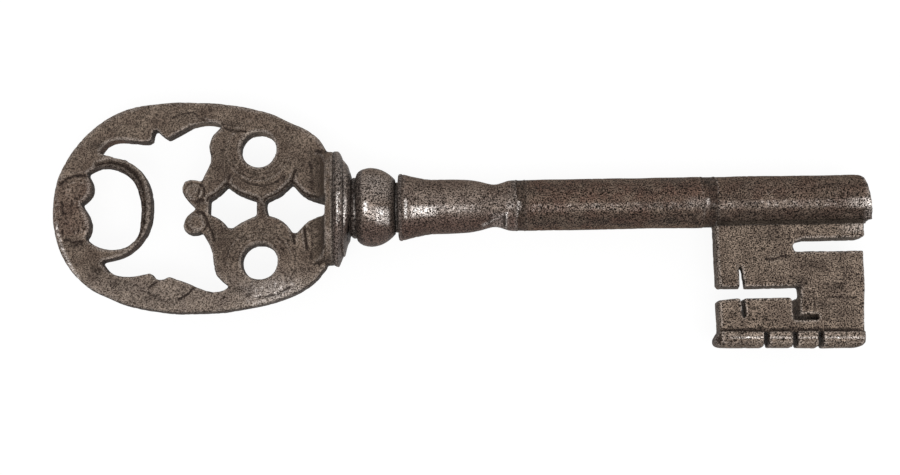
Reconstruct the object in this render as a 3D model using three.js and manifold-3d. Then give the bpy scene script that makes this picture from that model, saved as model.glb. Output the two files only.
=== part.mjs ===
// Openwork ring key: a forged iron barrel key about 150 mm long, with a pierced oval bow,
// turned mouldings, a hollow shank and a warded bit.
// While it is built, the stem runs along X with the shoulder of the bow at x = 0,
// the bow towards -X, the bit hanging towards -Y and the decorated face towards +Z.
import * as THREE from "three";
import { mergeVertices } from "three/addons/utils/BufferGeometryUtils.js";
import Module from "manifold-3d";

const wasm = await Module();
wasm.setup();

// Bow
const BOW_LENGTH = 51.5;
const BOW_WIDTH = 39;
const BOW_THICKNESS = 3.9;
const BOW_TIP_THICKNESS = 3;
const BOW_EDGE_CHAMFER = 0.6;
const BOW_EYE_DIAMETER = 6.6;
const SHOULDER_WIDTH = 21.2;
const SHOULDER_DEPTH = 12.8;
const SHOULDER_BAND = 1.3;
const SHOULDER_FLARE = 5.4;
const SHOULDER_FOOT_THICKNESS = 3.2;

// Tang of the bow, and the fit of everything that is threaded on it
const TANG_DIAMETER = 5;
const TANG_SEAT_DEPTH = 8;
const FIT_CLEARANCE = 0.15;

// How far a cutting tool reaches past what it cuts
const OVERRUN = 1;

// Mouldings between the bow and the neck
const COLLAR_WIDTH = 21.7;
const COLLAR_DEPTH = 16.6;
const COLLAR_LENGTH = 1.5;
const COLLAR_EDGE = 0.5;
const COLLAR_LEDGE = 0.5;
const DISC_WIDTH = 18.1;
const DISC_DEPTH = 15.2;
const DISC_LENGTH = 1.5;
const DISC_EDGE = 0.3;
const DISC_FALL = 1.5;
const BEAD_DIAMETER = 11.2;
const BEAD_LENGTH = 1.2;
const BEAD_HEIGHT = 0.5;
const KNOP_DIAMETER = 14.6;
const KNOP_LENGTH = 7.1;
const WASHER_DIAMETER = 9.3;
const WASHER_LENGTH = 0.6;

// Neck socket
const NECK_LENGTH = 21.8;
const NECK_LIP_DIAMETER = 12.7;
const NECK_BODY_DIAMETER = 10;
const NECK_WAIST_DIAMETER = 7.9;
const NECK_END_DIAMETER = 9.4;

// Flat left by the hammer on the waist, on the side towards the bit
const NECK_FLAT_LENGTH = 3.6;
const NECK_FLAT_SETBACK = 1.95;
const NECK_FLAT_DROP = 0.1;
const NECK_FLAT_TURN = THREE.MathUtils.degToRad(55);

// Shank tube and its brazed joints
const SHANK_LENGTH = 32.8;
const SHANK_DIAMETER = 9.4;
const SHANK_BORE = 6;
const SPIGOT_DIAMETER = 5.7;
const SPIGOT_LENGTH = 8;
const BRAZE_DIAMETER = 9.3;
const NECK_BRAZE_LENGTH = 1.2;
const BARREL_BRAZE_LENGTH = 1.9;

// Barrel behind the bit
const BARREL_LENGTH = 28.8;
const BARREL_DIAMETER = 9.4;
const BARREL_TAPER = 0.1;
const BARREL_BORE = 6;
const BARREL_BORE_DEPTH = 26;
const MOUTH_SLANT = 1.4;
const MOUTH_TOP_ROUNDING = 1.5;
const MOUTH_LOWER_ROUNDING = 0.9;

// Bit. Drops are measured from the stem's axis, and along from the bit's rear edge.
const BIT_LENGTH = 27.2;
const BIT_THICKNESS = 4;
const BIT_SEAT_DEPTH = 0.8;
const BIT_SLOT_CLEARANCE = 0.05;
const BIT_CORNER_ROUNDING = 0.5;
const FRONT_EDGE_STEP = 0.5;
const FRONT_EDGE_TAPER = 0.65;
const BRAZE_FILLET = 0.6;

// Toe of the bit: a ledge, a fine groove and a rounded nose, cut by three slits
const TOE_LINE_DROP = 24;
const TOE_SLANT = 0.45;
const TOE_THICKNESS = 5.6;
const TOE_LEDGE_WIDTH = 1.4;
const TOE_LEDGE_FALL = 0.3;
const TOE_GROOVE_WIDTH = 0.2;
const TOE_GROOVE_DEPTH = 0.35;
const TOE_NOSE_WIDTH = 1.2;
const TOE_NOSE_THICKNESS = 2.4;
const TOE_REAR_FLARE = 0.9;
const TOE_FRONT_FLARE = 0.1;
const TOE_CORNER_ROUNDING = 1.4;
const TOE_SLIT_WIDTH = 0.8;
const TOE_SLIT_PLACES = [8.3, 13.55, 18.1];

// Ward cuts in the bit
const FRONT_WARD_DEPTH = 13.2;
const FRONT_WARD_DROP = 7.3;
const FRONT_WARD_WIDTH = 2.4;
const FRONT_WARD_MOUTH_FLARE = 0.25;
const REAR_WARD_DEPTH = 15;
const REAR_WARD_DROP = 16;
const REAR_WARD_WIDTH = 2;
const REAR_WARD_MOUTH_FLARE = 0.4;
const REAR_WARD_MOUTH_LENGTH = 3.4;
const FINE_WARD_ALONG = 4;
const FINE_WARD_MOUTH_WIDTH = 0.9;
const FINE_WARD_WIDTH = 0.6;
const FINE_WARD_TOP_DROP = 11.6;
const FINE_WARD_TOE_CLEARANCE = 2.5;
const FINE_WARD_LEAN = -0.12;
const HOOK_WARD_WIDTH = 1.5;
const HOOK_WARD_NARROWING = 0.3;
const HOOK_WARD_CORNER = 0.4;
const HOOK_WARD_TOE_CLEARANCE = 1.9;
const HOOK_FOOT_LENGTH = 4.7;
const HOOK_FOOT_WIDTH = 0.95;
const HOOK_LEAN_ALONG = 0.2;
const HOOK_LEAN_DROP = 0.26;

// How finely curves are cut into facets
const ROUND_SEGMENTS = 48;
const OUTLINE_SPACING = 1.3;
const OPENING_SPACING = 1;
const PROFILE_SPACING = 0.75;

// Stations along the stem
const COLLAR_START = 0;
const DISC_START = COLLAR_START + COLLAR_LENGTH;
const BEAD_START = DISC_START + DISC_LENGTH;
const KNOP_START = BEAD_START + BEAD_LENGTH;
const WASHER_START = KNOP_START + KNOP_LENGTH;
const NECK_START = WASHER_START + WASHER_LENGTH;
const NECK_END = NECK_START + NECK_LENGTH;
const SHANK_START = NECK_END + NECK_BRAZE_LENGTH;
const SHANK_END = SHANK_START + SHANK_LENGTH;
const BARREL_START = SHANK_END + BARREL_BRAZE_LENGTH;
const BARREL_END = BARREL_START + BARREL_LENGTH;
const BIT_START = BARREL_START;
const BIT_END = BIT_START + BIT_LENGTH;
const BIT_TOP = -(BARREL_DIAMETER / 2 - BIT_SEAT_DEPTH);
const TANG_BORE = TANG_DIAMETER + 2 * FIT_CLEARANCE;

// The bow is drawn on squared paper: a hundred squares from the shoulder to its far end,
// eighty across. Each run is a smooth curve, and runs meet in sharp corners.
const squareAlong = BOW_LENGTH / 100;
const squareAcross = BOW_WIDTH / 80;

const BOW_OUTLINE = [
  [[-2.5, 22], [-4.8, 26], [-9, 29.7], [-15.5, 33.1], [-23, 36.8], [-37, 40.3], [-51.5, 41.5],
    [-66, 40.8], [-75, 38.8], [-82.8, 34.7], [-88.3, 29.6], [-94.3, 22.2], [-98, 14.5], [-99.7, 6],
    [-100, -1], [-99.3, -7.5], [-97, -15.5], [-91.6, -24.3], [-85.7, -29.6], [-80, -32.7],
    [-73, -35.7], [-58.5, -38.6], [-48, -39], [-37.5, -38.5], [-23, -35.9], [-12.5, -31.8],
    [-6.3, -27.4], [-2.5, -22.6]],
  [[-2.5, -22.6], [-2.5, 22]],
];

const RING_OPENING = [
  [[-88, 14.5], [-85.2, 16.4], [-80.4, 17.4], [-75.6, 16], [-72.4, 13.5], [-69.6, 9.9], [-68, 4.8],
    [-67.5, 0.5], [-67.7, -4], [-69, -9], [-72, -12.8], [-76.5, -14.6], [-81.3, -14.4],
    [-85, -12.8], [-88, -10.4]],
  [[-88, -10.4], [-87, -8], [-86.6, -4.9], [-87.6, -1.3], [-90, 3]],
  [[-90, 3], [-87.8, 4.8], [-86.4, 7.3], [-86.3, 10.5], [-88, 14.5]],
];

const SCROLL_OPENING = [
  [[-83.8, 22.3], [-81.5, 25.6], [-78.2, 27], [-74, 27], [-69.6, 26.4], [-66.8, 26.1], [-65, 26.9]],
  [[-65, 26.9], [-64.9, 28.8], [-64, 31.3]],
  [[-64, 31.3], [-61, 28.6], [-59.3, 27.4]],
  [[-59.3, 27.4], [-55.6, 29.5], [-50.6, 32.3], [-44.8, 33.4], [-39.3, 32.2]],
  [[-39.3, 32.2], [-43, 28], [-44.3, 24], [-43.6, 18.8], [-47.1, 10.7]],
  [[-47.1, 10.7], [-50, 11.4], [-52.6, 11], [-53.9, 8.6], [-53.4, 5.6], [-48.8, 0.2]],
  [[-48.8, 0.2], [-52.3, -3], [-53.2, -6], [-52.2, -8.7], [-49.7, -9.3], [-46.8, -8.6]],
  [[-46.8, -8.6], [-43.4, -14.9], [-42.3, -21], [-41.4, -25], [-37.1, -29.3]],
  [[-37.1, -29.3], [-39, -30.8], [-42.3, -31.2], [-45.6, -30.5], [-52.2, -27.6], [-58.1, -25.3]],
  [[-58.1, -25.3], [-60.6, -26.5], [-63, -26], [-64.7, -23.7]],
  [[-64.7, -23.7], [-68.6, -24.6], [-73.3, -25], [-77.3, -24.2], [-80.4, -22.1], [-82.5, -19]],
  [[-82.5, -19], [-78.1, -18.2], [-74.2, -16.9], [-70, -13.5], [-66.7, -8.9], [-65, -3],
    [-64.7, 2.8], [-65.6, 8.4], [-67.9, 13.8], [-71.6, 17.9], [-76.6, 20], [-83.8, 22.3]],
];

const REAR_STAR_OPENING = [
  [[-44.3, 3.8], [-41, 5.9], [-38.1, 9]],
  [[-38.1, 9], [-34.2, 6], [-27.4, 3.2]],
  [[-27.4, 3.2], [-27.2, -2.8]],
  [[-27.2, -2.8], [-31.4, -4.5], [-35.8, -7.4]],
  [[-35.8, -7.4], [-37.6, -7.2], [-39.5, -4.3], [-44.3, -1.7]],
  [[-44.3, -1.7], [-44.3, 3.8]],
];

const SHOULDER_STAR_OPENING = [
  [[-23.8, 3.1], [-18.9, 5.5], [-14.8, 9.6]],
  [[-14.8, 9.6], [-10.9, 5.2], [-7.2, 3.2], [-2.2, 2.4]],
  [[-2.2, 2.4], [-2.7, -3.8]],
  [[-2.7, -3.8], [-6.5, -4.1], [-8.8, -5.2], [-12.8, -9.7]],
  [[-12.8, -9.7], [-14.4, -9.7]],
  [[-14.4, -9.7], [-17.2, -5.8], [-20.4, -3.6], [-23.1, -2.8]],
  [[-23.1, -2.8], [-24.1, 0.3], [-23.8, 3.1]],
];

const EYE_PLACES = [[-26.6, 22.4], [-26.1, -20.2]];

function smoothRun(run, spacing) {
  const points = run.map(([x, y]) => new THREE.Vector3(x * squareAlong, y * squareAcross, 0));
  if (points.length === 2) return [points[0]];
  const curve = new THREE.CatmullRomCurve3(points, false, "centripetal");
  const steps = Math.max(2, Math.round(curve.getLength() / spacing));
  return curve.getSpacedPoints(steps).slice(0, -1);
}

function outlineShape(runs, spacing) {
  const points = runs.flatMap((run) => smoothRun(run, spacing));
  return new THREE.Shape(points.map((point) => new THREE.Vector2(point.x, point.y)));
}

function polygonShape(points) {
  return new THREE.Shape(points.map(([x, y]) => new THREE.Vector2(x, y)));
}

// A flat shape drawn in X and Y, given its thickness evenly to both sides of z = 0
function slab(shape, thickness) {
  const geometry = new THREE.ExtrudeGeometry(shape, { depth: thickness, bevelEnabled: false });
  return geometry.translate(0, 0, -thickness / 2);
}

// A profile drawn in X and Z, drawn out evenly to both sides of y = 0
function crossBar(points, width) {
  const shape = polygonShape(points.map(([x, z]) => [x, -z]));
  return slab(shape, width).rotateX(-Math.PI / 2);
}

// A profile drawn in Y and Z, run along the stem from start to end
function lengthwise(points, start, end) {
  const bar = slab(polygonShape(points), end - start).rotateY(Math.PI / 2).rotateX(Math.PI / 2);
  return bar.translate((start + end) / 2, 0, 0);
}

function block(x0, x1, y0, y1, depth) {
  const geometry = new THREE.BoxGeometry(x1 - x0, y1 - y0, depth);
  return geometry.translate((x0 + x1) / 2, (y0 + y1) / 2, 0);
}

// A piece turned about the stem. The profile is a list of [station, radius].
function turned(profile, segments = ROUND_SEGMENTS) {
  const points = profile.map(([station, radius]) => new THREE.Vector2(radius, station));
  return new THREE.LatheGeometry(points, segments).rotateZ(-Math.PI / 2);
}

function turnedRod(start, end, radius) {
  return turned([[start, 0], [start, radius], [end, radius], [end, 0]]);
}

function smoothProfile(points, spacing = PROFILE_SPACING) {
  const curve = new THREE.SplineCurve(points.map(([x, r]) => new THREE.Vector2(x, r)));
  const steps = Math.max(2, Math.round(curve.getLength() / spacing));
  return curve.getSpacedPoints(steps).map((point) => [point.x, point.y]);
}

function solid(geometry) {
  const bare = geometry.index ? geometry.toNonIndexed() : geometry.clone();
  for (const name of Object.keys(bare.attributes)) {
    if (name !== "position") bare.deleteAttribute(name);
  }
  const merged = mergeVertices(bare, 1e-5);
  const vertProperties = new Float32Array(merged.attributes.position.array);
  const triVerts = new Uint32Array(merged.index.array);
  return new wasm.Manifold(new wasm.Mesh({ numProp: 3, vertProperties, triVerts }));
}

function join(...solids) {
  return solids.reduce((all, next) => all.add(next));
}

function cut(body, ...tools) {
  return tools.reduce((left, tool) => left.subtract(tool), body);
}

function geometryOf(body) {
  const mesh = body.getMesh();
  const geometry = new THREE.BufferGeometry();
  geometry.setAttribute("position", new THREE.BufferAttribute(mesh.vertProperties, 3));
  geometry.setIndex(new THREE.BufferAttribute(mesh.triVerts, 1));
  geometry.computeVertexNormals();
  return geometry;
}

function finish(color, roughness, metalness) {
  return new THREE.MeshStandardMaterial({ color, roughness, metalness });
}

const key = new THREE.Group();

function addPiece(name, body, material) {
  const mesh = new THREE.Mesh(geometryOf(body), material);
  mesh.name = name;
  key.add(mesh);
}

// Bow: a tapering plate with chamfered rim, a shoulder that swells to meet the collar, and a tang
function bowPlate() {
  const geometry = new THREE.ExtrudeGeometry(outlineShape(BOW_OUTLINE, OUTLINE_SPACING), {
    depth: BOW_THICKNESS - 2 * BOW_EDGE_CHAMFER,
    bevelEnabled: true,
    bevelThickness: BOW_EDGE_CHAMFER,
    bevelSize: BOW_EDGE_CHAMFER,
    bevelOffset: -BOW_EDGE_CHAMFER,
    bevelSegments: 2,
  });
  geometry.translate(0, 0, BOW_EDGE_CHAMFER - BOW_THICKNESS / 2);
  const position = geometry.attributes.position;
  for (let i = 0; i < position.count; i += 1) {
    const share = THREE.MathUtils.mapLinear(
      position.getX(i), -BOW_LENGTH, 0, BOW_TIP_THICKNESS / BOW_THICKNESS, 1);
    position.setZ(i, position.getZ(i) * share);
  }
  return solid(geometry);
}

function shoulder() {
  const flareSteps = 8;
  const low = SHOULDER_FOOT_THICKNESS / 2;
  const high = SHOULDER_DEPTH / 2;
  const upper = [];
  for (let i = 0; i <= flareSteps; i += 1) {
    const turn = (i / flareSteps) * (Math.PI / 2);
    const x = -SHOULDER_FLARE + (SHOULDER_FLARE - SHOULDER_BAND) * Math.sin(turn);
    upper.push([x, low + (high - low) * (1 - Math.cos(turn))]);
  }
  upper.push([0, high]);
  const lower = upper.map(([x, z]) => [x, -z]).reverse();
  const flare = solid(crossBar([...upper, ...lower], SHOULDER_WIDTH));
  const oval = turned([
    [-SHOULDER_FLARE - OVERRUN, 0], [-SHOULDER_FLARE - OVERRUN, SHOULDER_WIDTH / 2],
    [0, SHOULDER_WIDTH / 2], [0, 0],
  ]);
  oval.scale(1, 1, (COLLAR_DEPTH - 2 * COLLAR_LEDGE) / COLLAR_WIDTH);
  return flare.intersect(solid(oval));
}

function eyeOpening([along, across]) {
  const eye = new THREE.Shape();
  eye.absarc(along * squareAlong, across * squareAcross, BOW_EYE_DIAMETER / 2, 0, 2 * Math.PI);
  const geometry = new THREE.ExtrudeGeometry(eye, {
    depth: 2 * SHOULDER_DEPTH, bevelEnabled: false, curveSegments: 14,
  });
  return solid(geometry.translate(0, 0, -SHOULDER_DEPTH));
}

function bow() {
  const tang = solid(turnedRod(-SHOULDER_BAND / 3, NECK_START + TANG_SEAT_DEPTH, TANG_DIAMETER / 2));
  const outlines = [RING_OPENING, SCROLL_OPENING, REAR_STAR_OPENING, SHOULDER_STAR_OPENING];
  const openings = outlines.map(
    (runs) => solid(slab(outlineShape(runs, OPENING_SPACING), 2 * SHOULDER_DEPTH)));
  const pierced = cut(join(bowPlate(), shoulder()), ...openings, ...EYE_PLACES.map(eyeOpening));
  return join(pierced, tang);
}

// Mouldings, each with the tang passing through it
function bored(body, start, end) {
  return cut(body, solid(turnedRod(start - OVERRUN, end + OVERRUN, TANG_BORE / 2)));
}

function ovalMoulding(profile, width, depth) {
  return solid(turned(profile).scale(1, 1, depth / width));
}

function baseCollar() {
  const crown = COLLAR_WIDTH / 2;
  const end = COLLAR_START + COLLAR_LENGTH;
  const edge = COLLAR_EDGE;
  const profile = [
    [COLLAR_START, 0], [COLLAR_START, crown - edge], [COLLAR_START + edge / 2, crown - edge / 4],
    [COLLAR_START + COLLAR_LENGTH / 2, crown], [end - edge / 2, crown - edge / 3],
    [end, crown - 1.4 * edge], [end, 0],
  ];
  return bored(ovalMoulding(profile, COLLAR_WIDTH, COLLAR_DEPTH), COLLAR_START, end);
}

function collarDisc() {
  const rim = DISC_WIDTH / 2;
  const end = DISC_START + DISC_LENGTH;
  const crown = DISC_START + DISC_EDGE;
  const profile = [[DISC_START, 0], [DISC_START, rim - DISC_EDGE], [crown, rim]];
  const steps = 4;
  for (let i = 1; i <= steps; i += 1) {
    const turn = (i / steps) * (Math.PI / 2);
    profile.push([
      crown + (end - crown) * Math.sin(turn),
      rim - DISC_FALL * (1 - Math.cos(turn)),
    ]);
  }
  profile.push([end, 0]);
  return bored(ovalMoulding(profile, DISC_WIDTH, DISC_DEPTH), DISC_START, end);
}

function collarBead() {
  const cove = BEAD_DIAMETER / 2 - BEAD_HEIGHT;
  const end = BEAD_START + BEAD_LENGTH;
  const profile = [[BEAD_START, 0], [BEAD_START, cove]];
  const steps = 6;
  for (let i = 0; i <= steps; i += 1) {
    const turn = (i / steps) * Math.PI;
    const station = BEAD_START + BEAD_LENGTH * (0.5 - 0.25 * Math.cos(turn));
    profile.push([station, cove + BEAD_HEIGHT * Math.sin(turn)]);
  }
  profile.push([end, cove], [end, 0]);
  return bored(solid(turned(profile)), BEAD_START, end);
}

function knop() {
  const r = KNOP_DIAMETER / 2;
  const station = (share) => KNOP_START + share * KNOP_LENGTH;
  const swell = smoothProfile([
    [station(0), 0.83 * r], [station(0.08), 0.92 * r], [station(0.18), 0.967 * r],
    [station(0.38), r], [station(0.59), 0.965 * r], [station(0.7), 0.92 * r],
    [station(0.8), 0.865 * r], [station(0.9), 0.79 * r], [station(1), 0.69 * r],
  ]);
  const end = KNOP_START + KNOP_LENGTH;
  return bored(solid(turned([[KNOP_START, 0], ...swell, [end, 0]])), KNOP_START, end);
}

function knopWasher() {
  const end = WASHER_START + WASHER_LENGTH;
  return bored(solid(turnedRod(WASHER_START, end, WASHER_DIAMETER / 2)), WASHER_START, end);
}

// Neck: a lipped baluster with a socket for the tang and a spigot for the shank tube
function neckSocket() {
  const lip = NECK_LIP_DIAMETER / 2;
  const body = NECK_BODY_DIAMETER / 2;
  const waist = NECK_WAIST_DIAMETER / 2;
  const end = NECK_END_DIAMETER / 2;
  const point = (along, from, to = from, share = 0) => [
    NECK_START + along * NECK_LENGTH,
    THREE.MathUtils.lerp(from, to, share),
  ];
  const swell = smoothProfile([
    point(0, lip, body, 0.15), point(0.012, lip), point(0.045, lip, body, 0.19),
    point(0.1, lip, body, 0.44), point(0.18, lip, body, 0.72), point(0.27, lip, body, 0.96),
    point(0.4, body), point(0.58, body, waist, 0.08), point(0.68, body, waist, 0.38),
    point(0.735, body, waist, 0.69), point(0.79, body, waist, 0.98), point(0.83, waist),
    point(0.88, waist, end, 0.4), point(0.93, waist, end, 0.87), point(1, end),
  ]);
  const spigot = SPIGOT_DIAMETER / 2;
  const tip = NECK_END + SPIGOT_LENGTH;
  const outside = turned([[NECK_START, 0], ...swell, [NECK_END, spigot], [tip, spigot], [tip, 0]]);
  const socketEnd = NECK_START + TANG_SEAT_DEPTH + FIT_CLEARANCE;
  const socket = turnedRod(NECK_START - OVERRUN, socketEnd, TANG_BORE / 2);
  return cut(solid(outside), solid(socket), neckFlat());
}

function neckFlat() {
  const flatEnd = NECK_END - NECK_FLAT_SETBACK;
  const reach = NECK_BODY_DIAMETER;
  const flat = block(flatEnd - NECK_FLAT_LENGTH, flatEnd, -reach, reach, reach);
  flat.translate(0, 0, reach / 2 + NECK_WAIST_DIAMETER / 2 - NECK_FLAT_DROP);
  return solid(flat.rotateX(NECK_FLAT_TURN));
}

function ring(start, end, outerRadius, innerRadius) {
  return solid(turned([
    [start, innerRadius], [start, outerRadius], [end, outerRadius], [end, innerRadius],
    [start, innerRadius],
  ]));
}

function neckBraze() {
  return ring(NECK_END, SHANK_START, BRAZE_DIAMETER / 2, SPIGOT_DIAMETER / 2 + FIT_CLEARANCE);
}

function shankTube() {
  return ring(SHANK_START, SHANK_END, SHANK_DIAMETER / 2, SHANK_BORE / 2);
}

function barrelBraze() {
  return ring(SHANK_END, BARREL_START, BRAZE_DIAMETER / 2, SPIGOT_DIAMETER / 2 + FIT_CLEARANCE);
}

// Barrel: hollow for the lock's pin, its mouth worn to a slant, with a seat cut for the bit
function bitBarrel() {
  const spigot = SPIGOT_DIAMETER / 2;
  const tip = BARREL_START - SPIGOT_LENGTH;
  const mouth = (BARREL_DIAMETER - BARREL_TAPER) / 2;
  const bore = BARREL_BORE / 2;
  const bottom = BARREL_END - BARREL_BORE_DEPTH;
  const body = solid(turned([
    [tip, 0], [tip, spigot], [BARREL_START, spigot], [BARREL_START, BARREL_DIAMETER / 2],
    [BARREL_END + OVERRUN, mouth], [BARREL_END + OVERRUN, bore], [bottom, bore], [bottom, 0],
  ]));
  const reach = BARREL_DIAMETER / 2;
  const short = BARREL_END - MOUTH_SLANT;
  const slope = MOUTH_SLANT / BARREL_DIAMETER;
  const trim = new THREE.Shape();
  trim.moveTo(tip - OVERRUN, -reach);
  trim.lineTo(BARREL_END - MOUTH_LOWER_ROUNDING, -reach);
  trim.quadraticCurveTo(BARREL_END, -reach,
    BARREL_END - slope * MOUTH_LOWER_ROUNDING, -reach + MOUTH_LOWER_ROUNDING);
  trim.lineTo(short + slope * MOUTH_TOP_ROUNDING, reach - MOUTH_TOP_ROUNDING);
  trim.quadraticCurveTo(short, reach, short - MOUTH_TOP_ROUNDING, reach);
  trim.lineTo(tip - OVERRUN, reach);
  const trimmed = new THREE.ExtrudeGeometry(trim, {
    depth: 2 * BARREL_DIAMETER, bevelEnabled: false, curveSegments: 5,
  }).translate(0, 0, -BARREL_DIAMETER);
  const seat = block(BIT_START - BIT_SLOT_CLEARANCE, BARREL_END + OVERRUN,
    -BARREL_DIAMETER, BIT_TOP, BIT_THICKNESS + 2 * BIT_SLOT_CLEARANCE);
  return cut(body.intersect(solid(trimmed)), solid(seat));
}

// Bit: a blade with ward cuts and a thicker, slit toe
const TOE_ANGLE = Math.atan2(TOE_SLANT, BIT_LENGTH);

// Drop of the toe line at a station of the stem
function toeLine(station) {
  return TOE_LINE_DROP + (station - BIT_START) * Math.tan(TOE_ANGLE);
}

const TOE_DEPTH = TOE_LEDGE_WIDTH + TOE_GROOVE_WIDTH + TOE_NOSE_WIDTH;
const BLADE_FRONT = BIT_END - FRONT_EDGE_STEP;
const TOE_FRONT = BLADE_FRONT - FRONT_EDGE_TAPER;

function toeBar() {
  const crest = TOE_THICKNESS / 2;
  const foot = crest - TOE_LEDGE_FALL;
  const hollow = foot - TOE_GROOVE_DEPTH;
  const noseTop = -TOE_LEDGE_WIDTH - TOE_GROOVE_WIDTH;
  const front = [[0, crest], [-TOE_LEDGE_WIDTH, foot], [-TOE_LEDGE_WIDTH, hollow]];
  const steps = 5;
  const tip = TOE_NOSE_THICKNESS / 2;
  for (let i = 0; i <= steps; i += 1) {
    const turn = (i / steps) * (Math.PI / 2);
    front.push([
      noseTop - TOE_NOSE_WIDTH * Math.sin(turn),
      tip + (foot - tip) * Math.cos(turn),
    ]);
  }
  const back = front.map(([y, z]) => [y, -z]).reverse();
  const bar = lengthwise([...front, ...back], -TOE_REAR_FLARE - OVERRUN, BIT_LENGTH + OVERRUN);
  return solid(bar.rotateZ(-TOE_ANGLE).translate(BIT_START, -TOE_LINE_DROP, 0));
}

// Outline of the toe seen from its face, with its corners rounded
function toePlan() {
  const rear = BIT_START - TOE_REAR_FLARE;
  const front = TOE_FRONT + TOE_FRONT_FLARE;
  const rounding = TOE_CORNER_ROUNDING;
  const rearFoot = -toeLine(rear) - TOE_DEPTH;
  const frontFoot = -toeLine(front) - TOE_DEPTH;
  const plan = new THREE.Shape();
  plan.moveTo(BIT_START, -TOE_LINE_DROP + OVERRUN);
  plan.lineTo(BIT_START, -TOE_LINE_DROP);
  plan.lineTo(rear, rearFoot + rounding);
  plan.quadraticCurveTo(rear, rearFoot, rear + rounding, rearFoot);
  plan.lineTo(front - 1.5 * rounding, frontFoot);
  plan.quadraticCurveTo(front, frontFoot, front, frontFoot + rounding);
  plan.lineTo(TOE_FRONT, -toeLine(TOE_FRONT));
  plan.lineTo(TOE_FRONT, -TOE_LINE_DROP + OVERRUN);
  const geometry = new THREE.ExtrudeGeometry(plan, {
    depth: 2 * TOE_THICKNESS, bevelEnabled: false, curveSegments: 4,
  });
  return solid(geometry.translate(0, 0, -TOE_THICKNESS));
}

// Outline of the blade. Its rear edge is straight. Its front edge steps in below the front
// ward and tapers to the toe.
function blade() {
  const frontWard = -FRONT_WARD_DROP - FRONT_WARD_WIDTH / 2;
  const frontLine = -toeLine(TOE_FRONT);
  return solid(slab(polygonShape([
    [BIT_START, BIT_TOP], [BIT_START, -TOE_LINE_DROP - TOE_GROOVE_WIDTH],
    [TOE_FRONT, frontLine - TOE_GROOVE_WIDTH], [TOE_FRONT, frontLine],
    [BLADE_FRONT, -REAR_WARD_DROP], [BLADE_FRONT, frontWard], [BIT_END, frontWard],
    [BIT_END, BIT_TOP],
  ]), BIT_THICKNESS));
}

// A cut through the whole thickness. Its outline is given in stations and drops.
function wardCut(points) {
  return slab(polygonShape(points.map(([station, drop]) => [station, -drop])), 2 * TOE_THICKNESS);
}

function frontWard() {
  const top = FRONT_WARD_DROP;
  const foot = top + FRONT_WARD_WIDTH;
  const back = BIT_END - FRONT_WARD_DEPTH;
  const rounding = FRONT_WARD_WIDTH / 3;
  return wardCut([
    [back + rounding / 3, foot], [back, top + 1.5 * rounding],
    [back + rounding, top + rounding / 2], [back + 3 * rounding, top],
    [BIT_END - 2 * BIT_CORNER_ROUNDING, top],
    [BIT_END, top - FRONT_WARD_MOUTH_FLARE], [BIT_END + OVERRUN, top - FRONT_WARD_MOUTH_FLARE],
    [BIT_END + OVERRUN, foot],
  ]);
}

function rearWard() {
  const top = REAR_WARD_DROP;
  const foot = top + REAR_WARD_WIDTH;
  const end = BIT_START + REAR_WARD_DEPTH;
  const outside = BIT_START - OVERRUN;
  return wardCut([
    [outside, top - BIT_CORNER_ROUNDING], [BIT_START, top - BIT_CORNER_ROUNDING],
    [BIT_START + BIT_CORNER_ROUNDING, top], [end, top], [end, foot],
    [BIT_START + REAR_WARD_MOUTH_LENGTH, foot],
    [BIT_START, foot + REAR_WARD_MOUTH_FLARE],
    [outside, foot + REAR_WARD_MOUTH_FLARE],
  ]);
}

// Leans a cut through the thickness, and keeps it in place at the front face
function leaned(wardSlab, along, drop) {
  const front = BIT_THICKNESS / 2;
  wardSlab.applyMatrix4(new THREE.Matrix4().makeShear(0, 0, 0, 0, along, drop));
  return wardSlab.translate(-front * along, -front * drop, 0);
}

// A wedge that opens into the rear ward, and its narrow foot below it
function fineWard() {
  const rear = BIT_START + FINE_WARD_ALONG;
  const front = rear + FINE_WARD_MOUTH_WIDTH;
  const apex = rear + FINE_WARD_WIDTH / 3;
  const ward = REAR_WARD_DROP + REAR_WARD_WIDTH / 2;
  const wedge = wardCut([
    [rear, ward], [rear, FINE_WARD_TOP_DROP + FINE_WARD_MOUTH_WIDTH], [apex, FINE_WARD_TOP_DROP],
    [apex + FINE_WARD_WIDTH / 3, FINE_WARD_TOP_DROP], [front, REAR_WARD_DROP], [front, ward],
  ]);
  const footTop = front - FINE_WARD_WIDTH / 3;
  const end = TOE_LINE_DROP - FINE_WARD_TOE_CLEARANCE;
  const foot = wardCut([
    [footTop - FINE_WARD_WIDTH, ward], [front - FINE_WARD_WIDTH, end], [front, end],
    [footTop, ward],
  ]);
  return [leaned(wedge, FINE_WARD_LEAN, 0), foot];
}

// A hooked cut down from the end of the rear ward, sawn at a slant through the thickness
function hookWard() {
  const end = BIT_START + REAR_WARD_DEPTH;
  const rear = end - HOOK_WARD_WIDTH;
  const corner = HOOK_WARD_CORNER;
  const ward = REAR_WARD_DROP + REAR_WARD_WIDTH;
  const foot = TOE_LINE_DROP - HOOK_WARD_TOE_CLEARANCE;
  const footTop = foot - HOOK_FOOT_WIDTH;
  const hook = wardCut([
    [rear - corner, REAR_WARD_DROP + corner], [rear - corner, ward],
    [rear, ward + 1.5 * corner], [rear, foot],
    [rear + HOOK_FOOT_LENGTH, foot], [rear + HOOK_FOOT_LENGTH, footTop],
    [end - HOOK_WARD_NARROWING, footTop], [end, REAR_WARD_DROP + corner],
  ]);
  return leaned(hook, HOOK_LEAN_ALONG, HOOK_LEAN_DROP);
}

function toeSlits() {
  return TOE_SLIT_PLACES.map((place) => {
    const station = BIT_START + place;
    const top = toeLine(station);
    return block(station - TOE_SLIT_WIDTH / 2, station + TOE_SLIT_WIDTH / 2,
      -top - TOE_DEPTH - OVERRUN, -top, 2 * TOE_THICKNESS);
  });
}

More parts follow.
